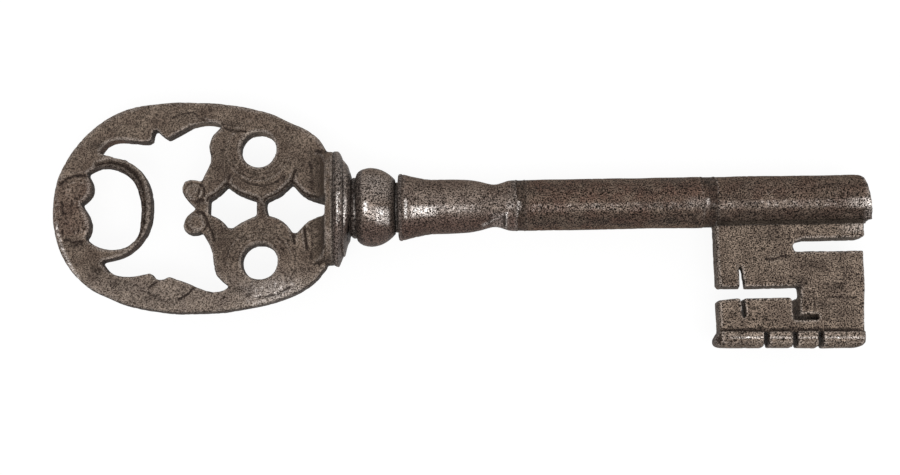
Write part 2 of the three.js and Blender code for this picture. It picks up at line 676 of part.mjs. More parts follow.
function bit() {
  const toe = toeBar().intersect(toePlan());
  const cuts = [frontWard(), rearWard(), ...fineWard(), hookWard(), ...toeSlits()];
  return cut(join(blade(), toe), ...cuts.map(solid));
}

// Braze run into the corner between the barrel and each face of the bit
function bitBraze(side) {
  const face = BIT_THICKNESS / 2 + BIT_SLOT_CLEARANCE;
  const radius = BARREL_DIAMETER / 2 + BIT_SLOT_CLEARANCE;
  const height = (z) => -Math.sqrt(radius * radius - z * z);
  const outer = face + BRAZE_FILLET;
  const section = [
    [height(face), face], [height((face + outer) / 2), (face + outer) / 2], [height(outer), outer],
    [height(face) - 0.55 * BRAZE_FILLET, face + 0.35 * BRAZE_FILLET],
    [height(face) - BRAZE_FILLET, face],
  ];
  return solid(lengthwise(section.map(([y, z]) => [y, z * side]), BIT_START, BIT_END));
}

const forgedIron = finish(0x554e46, 0.55, 0.85);
const wornIron = finish(0x6b645b, 0.45, 0.9);
const rustyIron = finish(0x5a4b40, 0.6, 0.8);
const brazeMetal = finish(0x3d332b, 0.65, 0.7);

addPiece("bow", bow(), forgedIron);
addPiece("base_collar", baseCollar(), wornIron.clone());
addPiece("collar_disc", collarDisc(), wornIron.clone());
addPiece("collar_bead", collarBead(), wornIron.clone());
addPiece("knop", knop(), wornIron.clone());
addPiece("knop_washer", knopWasher(), brazeMetal.clone());
addPiece("neck_socket", neckSocket(), wornIron.clone());
addPiece("neck_braze", neckBraze(), brazeMetal.clone());
addPiece("shank_tube", shankTube(), rustyIron);
addPiece("barrel_braze", barrelBraze(), brazeMetal.clone());
addPiece("bit_barrel", bitBarrel(), forgedIron.clone());
addPiece("bit", bit(), forgedIron.clone());
addPiece("bit_braze_front", bitBraze(1), brazeMetal.clone());
addPiece("bit_braze_back", bitBraze(-1), brazeMetal.clone());

// The finished key lies flat: its origin is under the middle of its outer size, at its lowest point
const size = new THREE.Box3().setFromObject(key);
const middle = size.getCenter(new THREE.Vector3());
key.position.set(-middle.x, -middle.y, -size.min.z);

export default key;
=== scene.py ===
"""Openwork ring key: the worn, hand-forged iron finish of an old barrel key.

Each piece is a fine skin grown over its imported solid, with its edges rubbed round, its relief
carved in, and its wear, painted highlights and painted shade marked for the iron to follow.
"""
import math

import bmesh
import bpy
import numpy as np
from mathutils import Matrix, Vector, noise


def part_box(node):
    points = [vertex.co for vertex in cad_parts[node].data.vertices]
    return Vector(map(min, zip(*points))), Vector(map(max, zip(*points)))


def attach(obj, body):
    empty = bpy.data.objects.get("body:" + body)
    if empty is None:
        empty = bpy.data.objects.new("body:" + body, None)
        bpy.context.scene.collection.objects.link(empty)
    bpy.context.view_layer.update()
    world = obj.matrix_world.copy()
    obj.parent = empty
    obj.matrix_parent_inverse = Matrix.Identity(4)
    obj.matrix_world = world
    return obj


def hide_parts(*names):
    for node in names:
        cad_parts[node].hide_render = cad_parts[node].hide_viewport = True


bl_info = {
    "name": "Openwork Ring Key",
    "version": (1, 0, 0),
    "blender": (4, 5, 0),
    "location": "View3D > Sidebar > Ring Key",
    "description": "Dresses a pierced barrel key in worn forged iron and lights it",
    "category": "Object",
}

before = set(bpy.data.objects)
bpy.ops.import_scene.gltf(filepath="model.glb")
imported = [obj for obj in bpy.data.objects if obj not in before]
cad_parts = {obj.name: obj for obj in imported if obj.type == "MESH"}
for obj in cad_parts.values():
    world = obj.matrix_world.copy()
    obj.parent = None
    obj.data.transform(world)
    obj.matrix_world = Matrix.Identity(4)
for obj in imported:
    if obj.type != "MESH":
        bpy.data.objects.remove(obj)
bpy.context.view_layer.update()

MM = 0.001
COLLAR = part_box("base_collar")
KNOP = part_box("knop")
STEM = Vector((COLLAR[0].x, (KNOP[0].y + KNOP[1].y) / 2, (KNOP[0].z + KNOP[1].z) / 2))

# Relief of the bow, in millimetres along the stem from the shoulder and across it.
# Each line is (width, depth, points).
BOW_LINES = [
    (0.30, 0.16, [(-50.0, 5.2), (-48.9, 6.2), (-47.4, 6.7), (-46.0, 6.7), (-44.7, 6.5)]),
    (0.35, 0.12, [(-49.0, -5.2), (-47.6, -5.7), (-46.1, -5.6), (-44.3, -5.2)]),
    (0.22, 0.18, [(-19.3, 4.6), (-19.2, 5.6), (-18.9, 6.3)]),
    (0.24, 0.26, [(-7.6, 4.8), (-7.3, 6.0), (-6.9, 7.0)]),
    (0.24, 0.24, [(-7.4, -4.6), (-7.1, -6.6)]),
    (0.22, 0.24, [(-5.4, -3.0), (-5.0, -5.8), (-4.8, -7.6)]),
    (0.24, 0.12, [(-25.9, 16.3), (-24.0, 16.6), (-22.2, 16.2), (-20.0, 15.8)]),
    (0.24, 0.10, [(-29.7, 17.2), (-27.7, 18.0), (-25.9, 18.2), (-24.4, 17.2), (-23.3, 16.2)]),
    (0.24, 0.16, [(-25.3, -14.3), (-26.4, -15.6), (-28.2, -16.6)]),
    (0.22, 0.14, [(-32.0, -13.2), (-33.5, -14.2)]),
    (0.24, 0.08, [(-34.9, -14.8), (-32.5, -15.6), (-30.7, -16.9)]),
    (0.24, 0.18, [(-24.2, 4.6), (-24.9, 2.0), (-23.7, 1.6)]),
    (0.24, 0.20, [(-23.9, -0.6), (-23.2, -2.3), (-22.3, -3.9), (-21.7, -5.8)]),
    (0.26, 0.14, [(-20.3, 15.2), (-17.9, 14.5), (-16.1, 14.4)]),
    (0.26, 0.14, [(-18.9, -14.6), (-20.2, -13.7), (-21.3, -12.6)]),
    (0.22, 0.12, [(-17.0, -5.4), (-15.2, -4.1), (-13.0, -3.8), (-10.8, -4.6), (-9.0, -6.3)]),
    (0.22, 0.09, [(-17.7, 6.2), (-15.5, 4.6), (-13.0, 4.0), (-10.8, 4.6), (-8.6, 6.0)]),
    (0.22, 0.08, [(-12.5, -16.4), (-10.0, -15.9), (-8.0, -14.6)]),
    (0.24, 0.14, [(-1.35, 9.4), (-1.35, 4.0)]),
    (0.24, 0.14, [(-1.35, -4.4), (-1.35, -9.6)]),
]

# The inner edge of the ring swells into its opening and is filed to a slope
RING_SWELL, RING_BEVEL_WIDTH, RING_BEVEL_DEPTH = 0.42, 0.85, 0.55
RING_EDGE = [
    (-43.2, 8.5), (-41.2, 9.0), (-38.6, 8.4), (-36.6, 6.9), (-35.5, 5.1), (-35.0, 2.9),
    (-34.9, 0.5), (-35.1, -2.2), (-35.9, -4.6),
]

# The upper edges of the star openings are filed to a slope, which is painted dark as shade
STAR_BEVEL_WIDTH, STAR_BEVEL_DEPTH = 0.42, 0.40
STAR_EDGES = [
    [(-22.8, 1.9), (-21.1, 2.9), (-19.6, 4.4), (-17.6, 2.9), (-14.1, 1.6)],
    [(-12.3, 1.5), (-9.7, 2.7), (-7.6, 4.7), (-5.6, 2.5), (-3.7, 1.6), (-1.6, 1.3)],
]

# Where a painted highlight runs as a bright line along the rim towards the bit
LOWER_LEFT_LINE = [(-50.7, -2.0), (-50.5, -3.6), (-49.4, -7.0), (-47.9, -10.2), (-46.5, -12.2)]

# The two round openings, and the low bosses and heart lobes with their radii
EYES = [(-13.70, 10.92), (-13.44, -9.85)]
NOSE_BOSSES = [(-25.5, 3.2, 1.7), (-24.9, -2.4, 1.8)]
HEART_LOBES = [(-46.6, 3.3, 3.0), (-46.4, -2.2, 3.0)]

# Dark stains on the bow: place, reach along and across in millimetres, and strength
BOW_STAINS = [
    (-43.5, 12.2, 1.8, 1.1, 0.55), (-47.0, -6.0, 2.0, 0.8, 0.7), (-43.0, -11.0, 1.8, 1.5, 0.6),
    (-39.5, -13.3, 1.6, 0.8, 0.5), (-33.0, -16.2, 2.2, 0.8, 0.4), (-17.3, -15.0, 2.4, 0.8, 0.5),
    (-13.1, 0.3, 1.0, 2.4, 0.7), (-27.0, 17.1, 2.4, 1.2, 0.35), (-18.9, 15.7, 1.9, 0.8, 0.5),
    (-22.4, 10.9, 2.0, 3.2, 0.25), (-8.0, 5.0, 1.0, 1.1, 0.45), (-7.4, -5.3, 0.9, 1.1, 0.4),
    (-35.8, -5.8, 1.0, 1.0, 0.5), (-33.8, 1.0, 1.0, 3.4, 0.4), (-2.6, 5.1, 1.3, 3.2, 0.3),
    (-24.6, 0.9, 1.2, 0.8, 0.6), (-22.8, -5.6, 0.9, 1.6, 0.4), (-9.5, 12.5, 3.0, 2.0, 0.15),
    (-19.7, 7.8, 5.0, 4.5, 0.34), (-19.4, -6.2, 4.5, 4.5, 0.38), (-6.0, 7.5, 3.0, 2.5, 0.2),
    (-12.5, 6.0, 5.0, 3.0, 0.24), (-12.5, -5.0, 4.5, 2.5, 0.28),
]

BIT_LINES = [
    (0.22, 0.14, [(78.6, -10.9), (79.6, -11.1), (81.0, -10.6), (82.4, -10.4)]),
    (0.24, 0.10, [(88.8, -18.2), (91.1, -18.0), (94.3, -18.3)]),
    (0.22, 0.08, [(84.9, -17.0), (86.9, -16.9), (87.1, -20.6)]),
    (0.20, 0.06, [(88.0, -15.6), (90.4, -15.9), (92.4, -15.5)]),
]

# Dark stains on the bit, given as those on the bow
BIT_STAINS = [
    (84.6, -15.2, 1.6, 0.9, 0.6), (87.0, -12.0, 2.2, 1.2, 0.35), (88.6, -19.6, 1.6, 0.9, 0.45),
    (91.5, -16.3, 2.0, 0.6, 0.4), (78.6, -7.2, 2.2, 0.9, 0.35), (81.5, -10.8, 2.6, 0.5, 0.3),
    (71.6, -14.4, 1.4, 1.6, 0.25), (79.5, -6.0, 1.2, 0.7, 0.3), (90.4, -21.2, 3.2, 1.0, 0.2),
    (85.8, -18.8, 1.0, 1.8, 0.25), (93.0, -13.0, 1.2, 2.5, 0.2),
]


def length_setting(name, description, default, **limits):
    return bpy.props.FloatProperty(name=name, description=description, default=default,
                                   unit="LENGTH", subtype="DISTANCE", **limits)


def angle_setting(name, description, degrees):
    return bpy.props.FloatProperty(name=name, description=description,
                                   default=math.radians(degrees), unit="ROTATION", subtype="ANGLE")


def light_setting(name, description, default):
    return bpy.props.FloatProperty(name=name, description=description, default=default, min=0)


def colour_setting(name, description, default):
    return bpy.props.FloatVectorProperty(name=name, description=description, default=default,
                                         size=3, min=0, max=1, subtype="COLOR")


class KeySizes(bpy.types.PropertyGroup):
    """Sizes of the finish, in metres unless a name says otherwise"""

    skin_detail: length_setting(
        "Skin detail", "Edge of the small squares that make each skin", 0.24 * MM, min=0.1 * MM)
    edge_passes: bpy.props.IntProperty(
        name="Edge wear passes", description="How often the edges are rubbed round",
        default=3, min=0, max=30)
    hammer_depth: length_setting(
        "Hammer depth", "Height of the broad unevenness left by forging", 0.06 * MM)
    hammer_spread: length_setting(
        "Hammer spread", "Distance between the broad rises and hollows", 5.0 * MM)
    pit_depth: length_setting(
        "Pit depth", "Depth of the corrosion pits cut into the skin", 0.05 * MM)
    pit_spread: length_setting("Pit spread", "Distance between corrosion pits", 0.9 * MM)
    grain: length_setting("Grain", "Size of the finest grain of the iron", 0.24 * MM)
    mottle: length_setting(
        "Mottle", "Size of the patches of darker and lighter patina", 3.2 * MM)


class KeyColours(bpy.types.PropertyGroup):
    """Colours of the iron and its patina"""

    patina: colour_setting(
        "Patina", "Brown grey of the flat, oxidised faces", (0.142, 0.109, 0.085))
    tube_patina: colour_setting(
        "Tube patina", "Darker, warmer brown of the shank and the barrel", (0.102, 0.075, 0.058))
    turned_patina: colour_setting(
        "Turned patina", "Brown of the neck, the knop and the mouldings", (0.112, 0.084, 0.067))
    # The crevice colour is also the near black of the painted shade
    crevice_and_shade: colour_setting(
        "Crevice", "Near black dirt in grooves and pits", (0.026, 0.018, 0.015))
    # Bare iron is also the colour of the painted highlights
    bare_iron_and_highlight: colour_setting(
        "Bare iron", "Iron rubbed bright on edges and crowns", (0.74, 0.68, 0.64))
    rust: colour_setting(
        "Rust", "Red brown tint of the shank and of the pitted heart", (0.100, 0.056, 0.042))
    floor: colour_setting("Floor", "Pale floor under the key", (0.86, 0.86, 0.86))


class KeyStage(bpy.types.PropertyGroup):
    """Camera and lights"""

    camera_distance: length_setting(
        "Camera distance", "From the camera to the point it looks at", 275.2 * MM)
    camera_tilt: angle_setting(
        "Camera tilt", "Lean of the camera from straight above, towards the bit", 9.0)
    camera_roll: angle_setting(
        "Camera roll", "Turn of the camera about its own line of sight", 0.95)
    lens: bpy.props.FloatProperty(
        name="Lens", description="Focal length in millimetres",
        default=60.0, subtype="DISTANCE_CAMERA")
    key_light: light_setting("Main light", "Brightness of the soft main light's face", 3.0)
    fill_light: light_setting("Fill light", "Brightness of the soft fill light's face", 1.0)
    room_light: light_setting("Room light", "Even light from all round", 0.5)
    target: bpy.props.FloatVectorProperty(
        name="Camera target",
        description="Point looked at, from the shoulder along and across the stem",
        default=(21.26 * MM, -5.74 * MM), size=2, unit="LENGTH")


SETTINGS = {"key_sizes": KeySizes, "key_colours": KeyColours, "key_stage": KeyStage}


def sizes():
    return bpy.context.scene.key_sizes


def colours():
    return bpy.context.scene.key_colours


def stem_point(along, across=0.0, up=0.0):
    """A point given in millimetres from the shoulder, on and beside the stem."""
    return STEM + Vector((along, across, up)) * MM


def placed(name, data):
    """A new object of the scene."""
    made = bpy.data.objects.new(name, data)
    bpy.context.scene.collection.objects.link(made)
    return made


# Growing and shaping the skins


def grown_skin(node, detail, passes):
    """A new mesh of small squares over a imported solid, its edges rubbed round."""
    work = bmesh.new()
    work.from_mesh(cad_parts[node].data)
    bmesh.ops.remove_doubles(work, verts=work.verts, dist=0.001 * MM)
    rough = bpy.data.meshes.new(node + "_rough")
    work.to_mesh(rough)
    work.free()
    holder = placed(node + "_rough", rough)
    squares = holder.modifiers.new("Squares", "REMESH")
    squares.mode = "VOXEL"
    squares.voxel_size = detail
    depsgraph = bpy.context.evaluated_depsgraph_get()
    mesh = bpy.data.meshes.new_from_object(holder.evaluated_get(depsgraph))
    bpy.data.objects.remove(holder)
    bpy.data.meshes.remove(rough)
    work = bmesh.new()
    work.from_mesh(mesh)
    for _ in range(passes):
        bmesh.ops.smooth_vert(work, verts=work.verts, factor=0.5,
                              use_axis_x=True, use_axis_y=True, use_axis_z=True)
    for face in work.faces:
        face.smooth = True
    work.to_mesh(mesh)
    work.free()
    mesh.name = node + "_forging"
    return mesh


def read_vertices(mesh):
    """Places in millimetres from the shoulder, and normals, of a mesh's vertices."""
    places = np.zeros(len(mesh.vertices) * 3, np.float32)
    mesh.vertices.foreach_get("co", places)
    normals = np.zeros(len(mesh.vertices) * 3, np.float32)
    mesh.vertex_normals.foreach_get("vector", normals)
    return (places.reshape(-1, 3) - np.array(STEM)) / MM, normals.reshape(-1, 3)


def raise_skin(mesh, places, normals, height):
    """Moves each vertex along its normal by height, in millimetres."""
    moved = (places + normals * height[:, None]) * MM + np.array(STEM)
    mesh.vertices.foreach_set("co", moved.astype(np.float32).ravel())
    mesh.update()


def fade(value, low, high):
    t = np.clip((value - low) / (high - low), 0, 1)
    return t * t * (3 - 2 * t)


def line_distance(places, points):
    """Distance of each vertex from a bent line, seen from the front."""
    nearest = np.full(len(places), 1e9)
    for (x0, y0), (x1, y1) in zip(points, points[1:]):
        run = np.array([x1 - x0, y1 - y0])
        along, across = places[:, 0] - x0, places[:, 1] - y0
        share = np.clip((along * run[0] + across * run[1]) / (run @ run), 0, 1)
        gap = np.hypot(along - share * run[0], across - share * run[1])
        nearest = np.minimum(nearest, gap)
    return nearest


def carved(places, lines):
    """Grooves along the lines of a table, or ridges where its depth is below 0."""
    height = np.zeros(len(places))
    for width, depth, points in lines:
        height -= depth * np.exp(-(line_distance(places, points) / width) ** 2)
    return height


def soft_noise(places, spread, shift):
    """From about -1 to 1, with rises that lie spread apart."""
    return np.array([noise.noise(Vector(p) / spread + shift) for p in places.tolist()]) * 2


def unevenness(places, spread, seed):
    return soft_noise(places, spread, Vector((seed * 7.3, seed * 3.1, seed * 5.7)))


def pitted(places, spread, seed):
    """0 on sound metal and up to 1 in the middle of a pit."""
    return fade(soft_noise(places, spread, Vector((seed * 2.9, seed * 8.3, seed * 4.1))), 0.25, 0.8)


def smoothed(values, first, second, counts, passes):
    """Values of the vertices, averaged with their neighbours' along the edges."""
    for _ in range(passes):
        total = np.bincount(first, values[second], len(values))
        total += np.bincount(second, values[first], len(values))
        values = 0.5 * values + 0.5 * total / counts
    return values


# How proud of its surroundings, in millimetres, a spot is that is wholly worn or wholly filled
FULL_WEAR = 0.045
# How often the surface and its wear are averaged: the more, the broader the worn edges
SURFACE_AVERAGES, WEAR_AVERAGES = 6, 2


def mark_wear(mesh, marks):
    """Writes wear, which is high on proud edges and low in hollows, and the given marks."""
    edges = np.zeros(len(mesh.edges) * 2, np.int32)
    mesh.edges.foreach_get("vertices", edges)
    first, second = edges.reshape(-1, 2).T
    count = len(mesh.vertices)
    counts = np.bincount(first, minlength=count) + np.bincount(second, minlength=count)
    counts = np.maximum(counts, 1)
    places, normals = read_vertices(mesh)
    mean = np.stack([smoothed(axis, first, second, counts, SURFACE_AVERAGES)
                     for axis in places.T], axis=1)
    proud = ((places - mean) * normals).sum(axis=1)
    proud = smoothed(proud, first, second, counts, WEAR_AVERAGES)
    for name, values in {"wear": 0.5 + 0.5 * proud / FULL_WEAR, **marks}.items():
        attribute = mesh.attributes.new(name, "FLOAT", "POINT")
        attribute.data.foreach_set("value", np.clip(values, 0, 1).astype(np.float32))


def nothing(places, normals):
    return np.zeros(len(places))


def patches(places, table):
    """Soft oval patches, as strong in their middles as the table says."""
    strength = np.zeros(len(places))
    for x, y, along, across, amount in table:
        reach = ((places[:, 0] - x) / along) ** 2 + ((places[:, 1] - y) / across) ** 2
        strength = np.maximum(strength, amount * np.exp(-reach))
    return strength


def forging(node, material, slot, relief=nothing, painted_highlight=nothing, stain_and_shade=nothing, rust=nothing,
            detail=1.0, passes=None, hammer=1.0, pits=1.0, bend=None):
    """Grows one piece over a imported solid, sculpts it, gives it its iron and seats it."""
    settings = sizes()
    passes = settings.edge_passes if passes is None else passes
    mesh = grown_skin(node, settings.skin_detail * detail, passes)
    places, normals = read_vertices(mesh)
    seed = 1 + sorted(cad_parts).index(node)
    broad = unevenness(places, settings.hammer_spread / MM, seed)
    pocked = pitted(places, settings.pit_spread / MM, seed)
    height = relief(places, normals) + broad * hammer * settings.hammer_depth / MM
    height = height - pocked * pits * settings.pit_depth / MM
    raise_skin(mesh, places, normals, height)
    if bend:
        raised, _ = read_vertices(mesh)
        raise_skin(mesh, bend(raised), normals, nothing(places, normals))
    # Besides stains and rust, the marks hold painted highlights and painted shade
    mark_wear(mesh, {
        "painted_highlight": painted_highlight(places, normals),
        "stain_and_shade": stain_and_shade(places, normals),
        "rust": rust(places, normals),
    })
    piece = placed(node + "_forging", mesh)
    mesh.materials.clear()
    mesh.materials.append(material)
    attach(piece, "root")
    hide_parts(node)
    return piece


# The iron. A range holds two values of a noise or a mark: its effect is none at the first and
# full at the second. Shares are of the patina's colour or of the full effect.

DARK_PATINA, LIGHT_PATINA, PATINA_RANGE = 0.66, 1.24, (0.34, 0.68)
RUST_RANGE = (0.60, 0.40)
SPECK_SIZE, SPOT_RANGE, SPOT_SHARE = 2.0, (0.52, 0.36), 0.4
RUBBED_RANGE, SHINE_RANGE = (0.60, 0.86), (0.36, 0.52)
HOLLOW_RANGE, HOLLOW_SHARE = (0.44, 0.20), 0.85
STAIN_SHADE_RANGE, STAIN_SHADE_LEAST, STAIN_SHADE_MOST = (0.62, 0.40), 0.5, 1.1
GRAIN_RANGE, GRAIN_DARKENS, GRAIN_LIGHTENS = (0.40, 0.60), 0.45, 0.52
PATINA_METAL, DULLED_AT = 0.75, 0.8
ROUGH_RANGE, ROUGHEST, SMOOTHEST = (0.3, 0.7), 0.56, 0.42
SHINE_SMOOTHS, DARKENING_ROUGHENS = 0.24, 0.35
FINE_BUMPS, COARSE_BUMPS, BUMP_STRENGTH = 0.10 * MM, 0.20 * MM, 0.6
GLOSS, GLOSS_TINT = 0.3, (0.45, 0.40, 0.36)


def bare_tree(owner):
    """The emptied node tree of a material or of the world."""
    owner.use_nodes = True
    owner.node_tree.nodes.clear()
    return owner.node_tree


def add_node(tree, kind, place, inputs=None, **values):
    """A node with its values, each input of which is set or is linked to a socket."""
    made = tree.nodes.new(kind)
    made.location = place
    for name, value in values.items():
        setattr(made, name, value)
    for name, value in (inputs or {}).items():
        if isinstance(value, bpy.types.NodeSocket):
            tree.links.new(value, made.inputs[name])
        else:
            made.inputs[name].default_value = value
    return made


# Sockets of a Mix node that mixes colours
MIX_A, MIX_B, MIX_OUT = 6, 7, 2


def noise_texture(tree, place, source, size, detail, roughness):
    inputs = {"Vector": source, "Scale": 1 / size, "Detail": detail, "Roughness": roughness}
    return add_node(tree, "ShaderNodeTexNoise", place, inputs).outputs["Fac"]


def ramp(tree, place, source, low, high, from_value=0.0, to_value=1.0):
    inputs = {"Value": source, "From Min": low, "From Max": high, "To Min": from_value,
              "To Max": to_value}
    return add_node(tree, "ShaderNodeMapRange", place, inputs).outputs["Result"]


def arithmetic(tree, place, operation, first, second):
    inputs = {0: first, 1: second}
    return add_node(tree, "ShaderNodeMath", place, inputs, operation=operation).outputs["Value"]


def scaled(tree, place, colour, amount):
    """A colour made brighter or darker by an amount."""
    inputs = {0: colour, "Scale": amount}
    return add_node(tree, "ShaderNodeVectorMath", place, inputs,
                    operation="SCALE").outputs["Vector"]


def blended(tree, place, factor, first, second):
    """A mix of two colours, each a socket or three shares of red, green and blue."""
    inputs = {"Factor": factor}
    for index, value in ((MIX_A, first), (MIX_B, second)):
        inputs[index] = (*value, 1) if isinstance(value, tuple) else value
    return add_node(tree, "ShaderNodeMix", place, inputs, data_type="RGBA").outputs[MIX_OUT]


def bumps(tree, place, height, depth, **over):
    inputs = {"Strength": BUMP_STRENGTH, "Distance": depth, "Height": height, **over}
    return add_node(tree, "ShaderNodeBump", place, inputs).outputs["Normal"]


def tinted(colour, share):
    return tuple(channel * share for channel in colour)


def iron(name, patina, rustiness=0.0, shine_all_over=0.0, smoothness=0.0, roughcast=1.0,
         rubbing=0.12, contrast=1.0):
    """Worn iron: brown patina, bright where rubbed and in painted highlights, near black in
    grooves, pits, stains and painted shade.

    Rustiness, shine_all_over and rubbing run from 0 to 1. Smoothness is taken off the
    roughness, roughcast scales the bumps, and contrast the grain.
    """
    palette, spec = colours(), sizes()
    material = bpy.data.materials.new(name)
    tree = bare_tree(material)
    space = add_node(tree, "ShaderNodeTexCoord", (-1400, 0)).outputs["Object"]
    marks = {}
    for row, mark in enumerate(("wear", "painted_highlight", "stain_and_shade", "rust")):
        place = (-1400, 400 + 200 * row)
        made = add_node(tree, "ShaderNodeAttribute", place, attribute_name=mark)
        marks[mark] = made.outputs["Fac"]
    grain = noise_texture(tree, (-1100, -200), space, spec.grain, 2, 0.6)
    speck = noise_texture(tree, (-1100, -450), space, spec.grain * SPECK_SIZE, 4, 0.7)
    mottle = noise_texture(tree, (-1100, -700), space, spec.mottle, 5, 0.6)

    # The patina: broad patches, rust and dark spots
    ground = blended(tree, (-600, -400), ramp(tree, (-850, -700), mottle, *PATINA_RANGE),
                     tinted(patina, DARK_PATINA), tinted(patina, LIGHT_PATINA))
    red = arithmetic(tree, (-700, -900), "ADD", marks["rust"],
                     ramp(tree, (-850, -900), mottle, *RUST_RANGE, 0.0, rustiness))
    ground = blended(tree, (-450, -500), red, ground, tuple(palette.rust))
    spots = ramp(tree, (-850, -450), speck, *SPOT_RANGE, 0.0, SPOT_SHARE)
    ground = blended(tree, (-150, -300), spots, ground, tuple(palette.crevice_and_shade))

    # Bare iron where it is rubbed, and in the painted highlights, broken up by the specks
    rubbed = ramp(tree, (-850, 300), marks["wear"], *RUBBED_RANGE, 0.0, rubbing)
    shine = arithmetic(tree, (-600, 300), "MAXIMUM", rubbed, marks["painted_highlight"])
    shine = arithmetic(tree, (-450, 300), "ADD", shine, shine_all_over)
    shine = arithmetic(tree, (-300, 300), "MULTIPLY", shine,
                       ramp(tree, (-850, 0), speck, *SHINE_RANGE))
    surface = blended(tree, (50, 0), shine, ground, tuple(palette.bare_iron_and_highlight))

    # Dirt in the hollows, dark stains and painted shade, then light and dark grain over everything
    hollow = ramp(tree, (-850, 500), marks["wear"], *HOLLOW_RANGE, 0.0, HOLLOW_SHARE)
    surface = blended(tree, (250, 0), hollow, surface, tuple(palette.crevice_and_shade))
    stained_and_shaded = arithmetic(tree, (50, 700), "MULTIPLY", marks["stain_and_shade"],
                        ramp(tree, (-850, 700), speck, *STAIN_SHADE_RANGE, STAIN_SHADE_LEAST, STAIN_SHADE_MOST))
    surface = blended(tree, (450, 0), stained_and_shaded, surface, tuple(palette.crevice_and_shade))
    speckle = ramp(tree, (450, -200), grain, *GRAIN_RANGE, 1 - GRAIN_DARKENS * contrast,
                   1 + GRAIN_LIGHTENS * contrast)
    surface = scaled(tree, (650, 0), surface, speckle)

    # Dirt, stains and painted shade dull the metal and roughen it, and shine smooths it
    darkening = arithmetic(tree, (250, 700), "MAXIMUM", stained_and_shaded, hollow)
    undarkened = ramp(tree, (450, 700), darkening, 0.0, DULLED_AT, 1.0, 0.0)
    metal = ramp(tree, (250, -250), shine, 0.0, 1.0, PATINA_METAL, 1.0)
    metal = arithmetic(tree, (450, -250), "MULTIPLY", metal, undarkened)
    uneven = ramp(tree, (250, -500), grain, *ROUGH_RANGE, ROUGHEST - smoothness,
                  SMOOTHEST - smoothness)
    eased = arithmetic(tree, (450, -500), "MULTIPLY", shine, SHINE_SMOOTHS)
    roughness = arithmetic(tree, (650, -500), "SUBTRACT", uneven, eased)
    matt = arithmetic(tree, (650, 700), "MULTIPLY", darkening, DARKENING_ROUGHENS)
    roughness = arithmetic(tree, (850, -500), "ADD", roughness, matt)

    fine = bumps(tree, (850, -800), grain, FINE_BUMPS * roughcast)
    coarse = bumps(tree, (1050, -800), speck, COARSE_BUMPS * roughcast, Normal=fine)
    shader = add_node(tree, "ShaderNodeBsdfPrincipled", (1300, 0), {
        "Base Color": surface, "Metallic": metal, "Roughness": roughness, "Normal": coarse,
        "Specular IOR Level": GLOSS, "Specular Tint": (*GLOSS_TINT, 1),
    })
    add_node(tree, "ShaderNodeOutputMaterial", (1600, 0), {"Surface": shader.outputs["BSDF"]})
    return material


# Marks by place. A span is four numbers in order: where a mark starts to show, is full,
# starts to fade and is gone.


def within(value, starts, full, fades, gone):
    return fade(value, starts, full) * (1 - fade(value, fades, gone))


def ridge(value, middle, width):
    """1 on a line and less beside it, over the width given."""
    return np.exp(-((value - middle) / width) ** 2)


def strongest(*marks):
    return np.maximum.reduce(marks)


def broken(places, least, spread, seed):
    """From least to 1 in small spots, for a mark that pits break up."""
    return least + (1 - least) * pitted(places, spread, seed)


def front_side(normals):
    return (normals[:, 2] > 0).astype(float)


def walls(normals, steep, slanting):
    """1 on steep walls between front and back, and less on slanting ones."""
    return 1 - fade(np.abs(normals[:, 2]), steep, slanting)


def glint(places, normals, start, end, low, high, edge=0.3, strength=1.0):
    """A painted highlight: a patch of bright bare iron on a round piece, between two stations of
    the stem.

    From top to bottom it lies where the surface turns towards the bit by the shares low to high.
    """
    outer, inner = 0.12, 0.06
    along = within(places[:, 0], start - edge, start + edge, end - edge, end + edge)
    turned = within(-normals[:, 1], low - outer, low + inner, high - inner, high + outer)
    return strength * along * turned * front_side(normals)


# Relief, wear, painted highlights and painted shade of each piece. Relief is in millimetres, the
# rest runs from 0 to 1.


# How squarely a face looks to the front or back before it is carved
CARVED_FACES = (0.5, 0.85)
EYE_LIFT, EYE_EDGE = 0.14, (5.6, 6.6)
ARC_RADII, ARC_DEPTH, ARC_WIDTH = (4.0, 4.7, 5.4), 0.11, 0.2
BOSS_HEIGHT, BOSS_GROOVE_DEPTH, BOSS_GROOVE = 0.36, 0.07, (1.12, 0.14)
BOSS_SHADE = (1.08, 0.13)
LOBE_HEIGHT, LOBE_EDGE = 0.18, (0.6, 1.15)
HEART_MIDDLE, HEART_END, HEART_SIDES, HEART_PITS = 0.6, (-45.2, -43.0), (4.2, 6.4), 0.10
RING_SWELL_ALONG, RING_SWELL_ACROSS = (-43.5, -39.0), (-5.5, -1.5)
RING_SPAN = (-45.0, -43.5, -35.5, -34.0)
# How far the shoulder runs in under the collar
SHOULDER_SEAT = 0.4


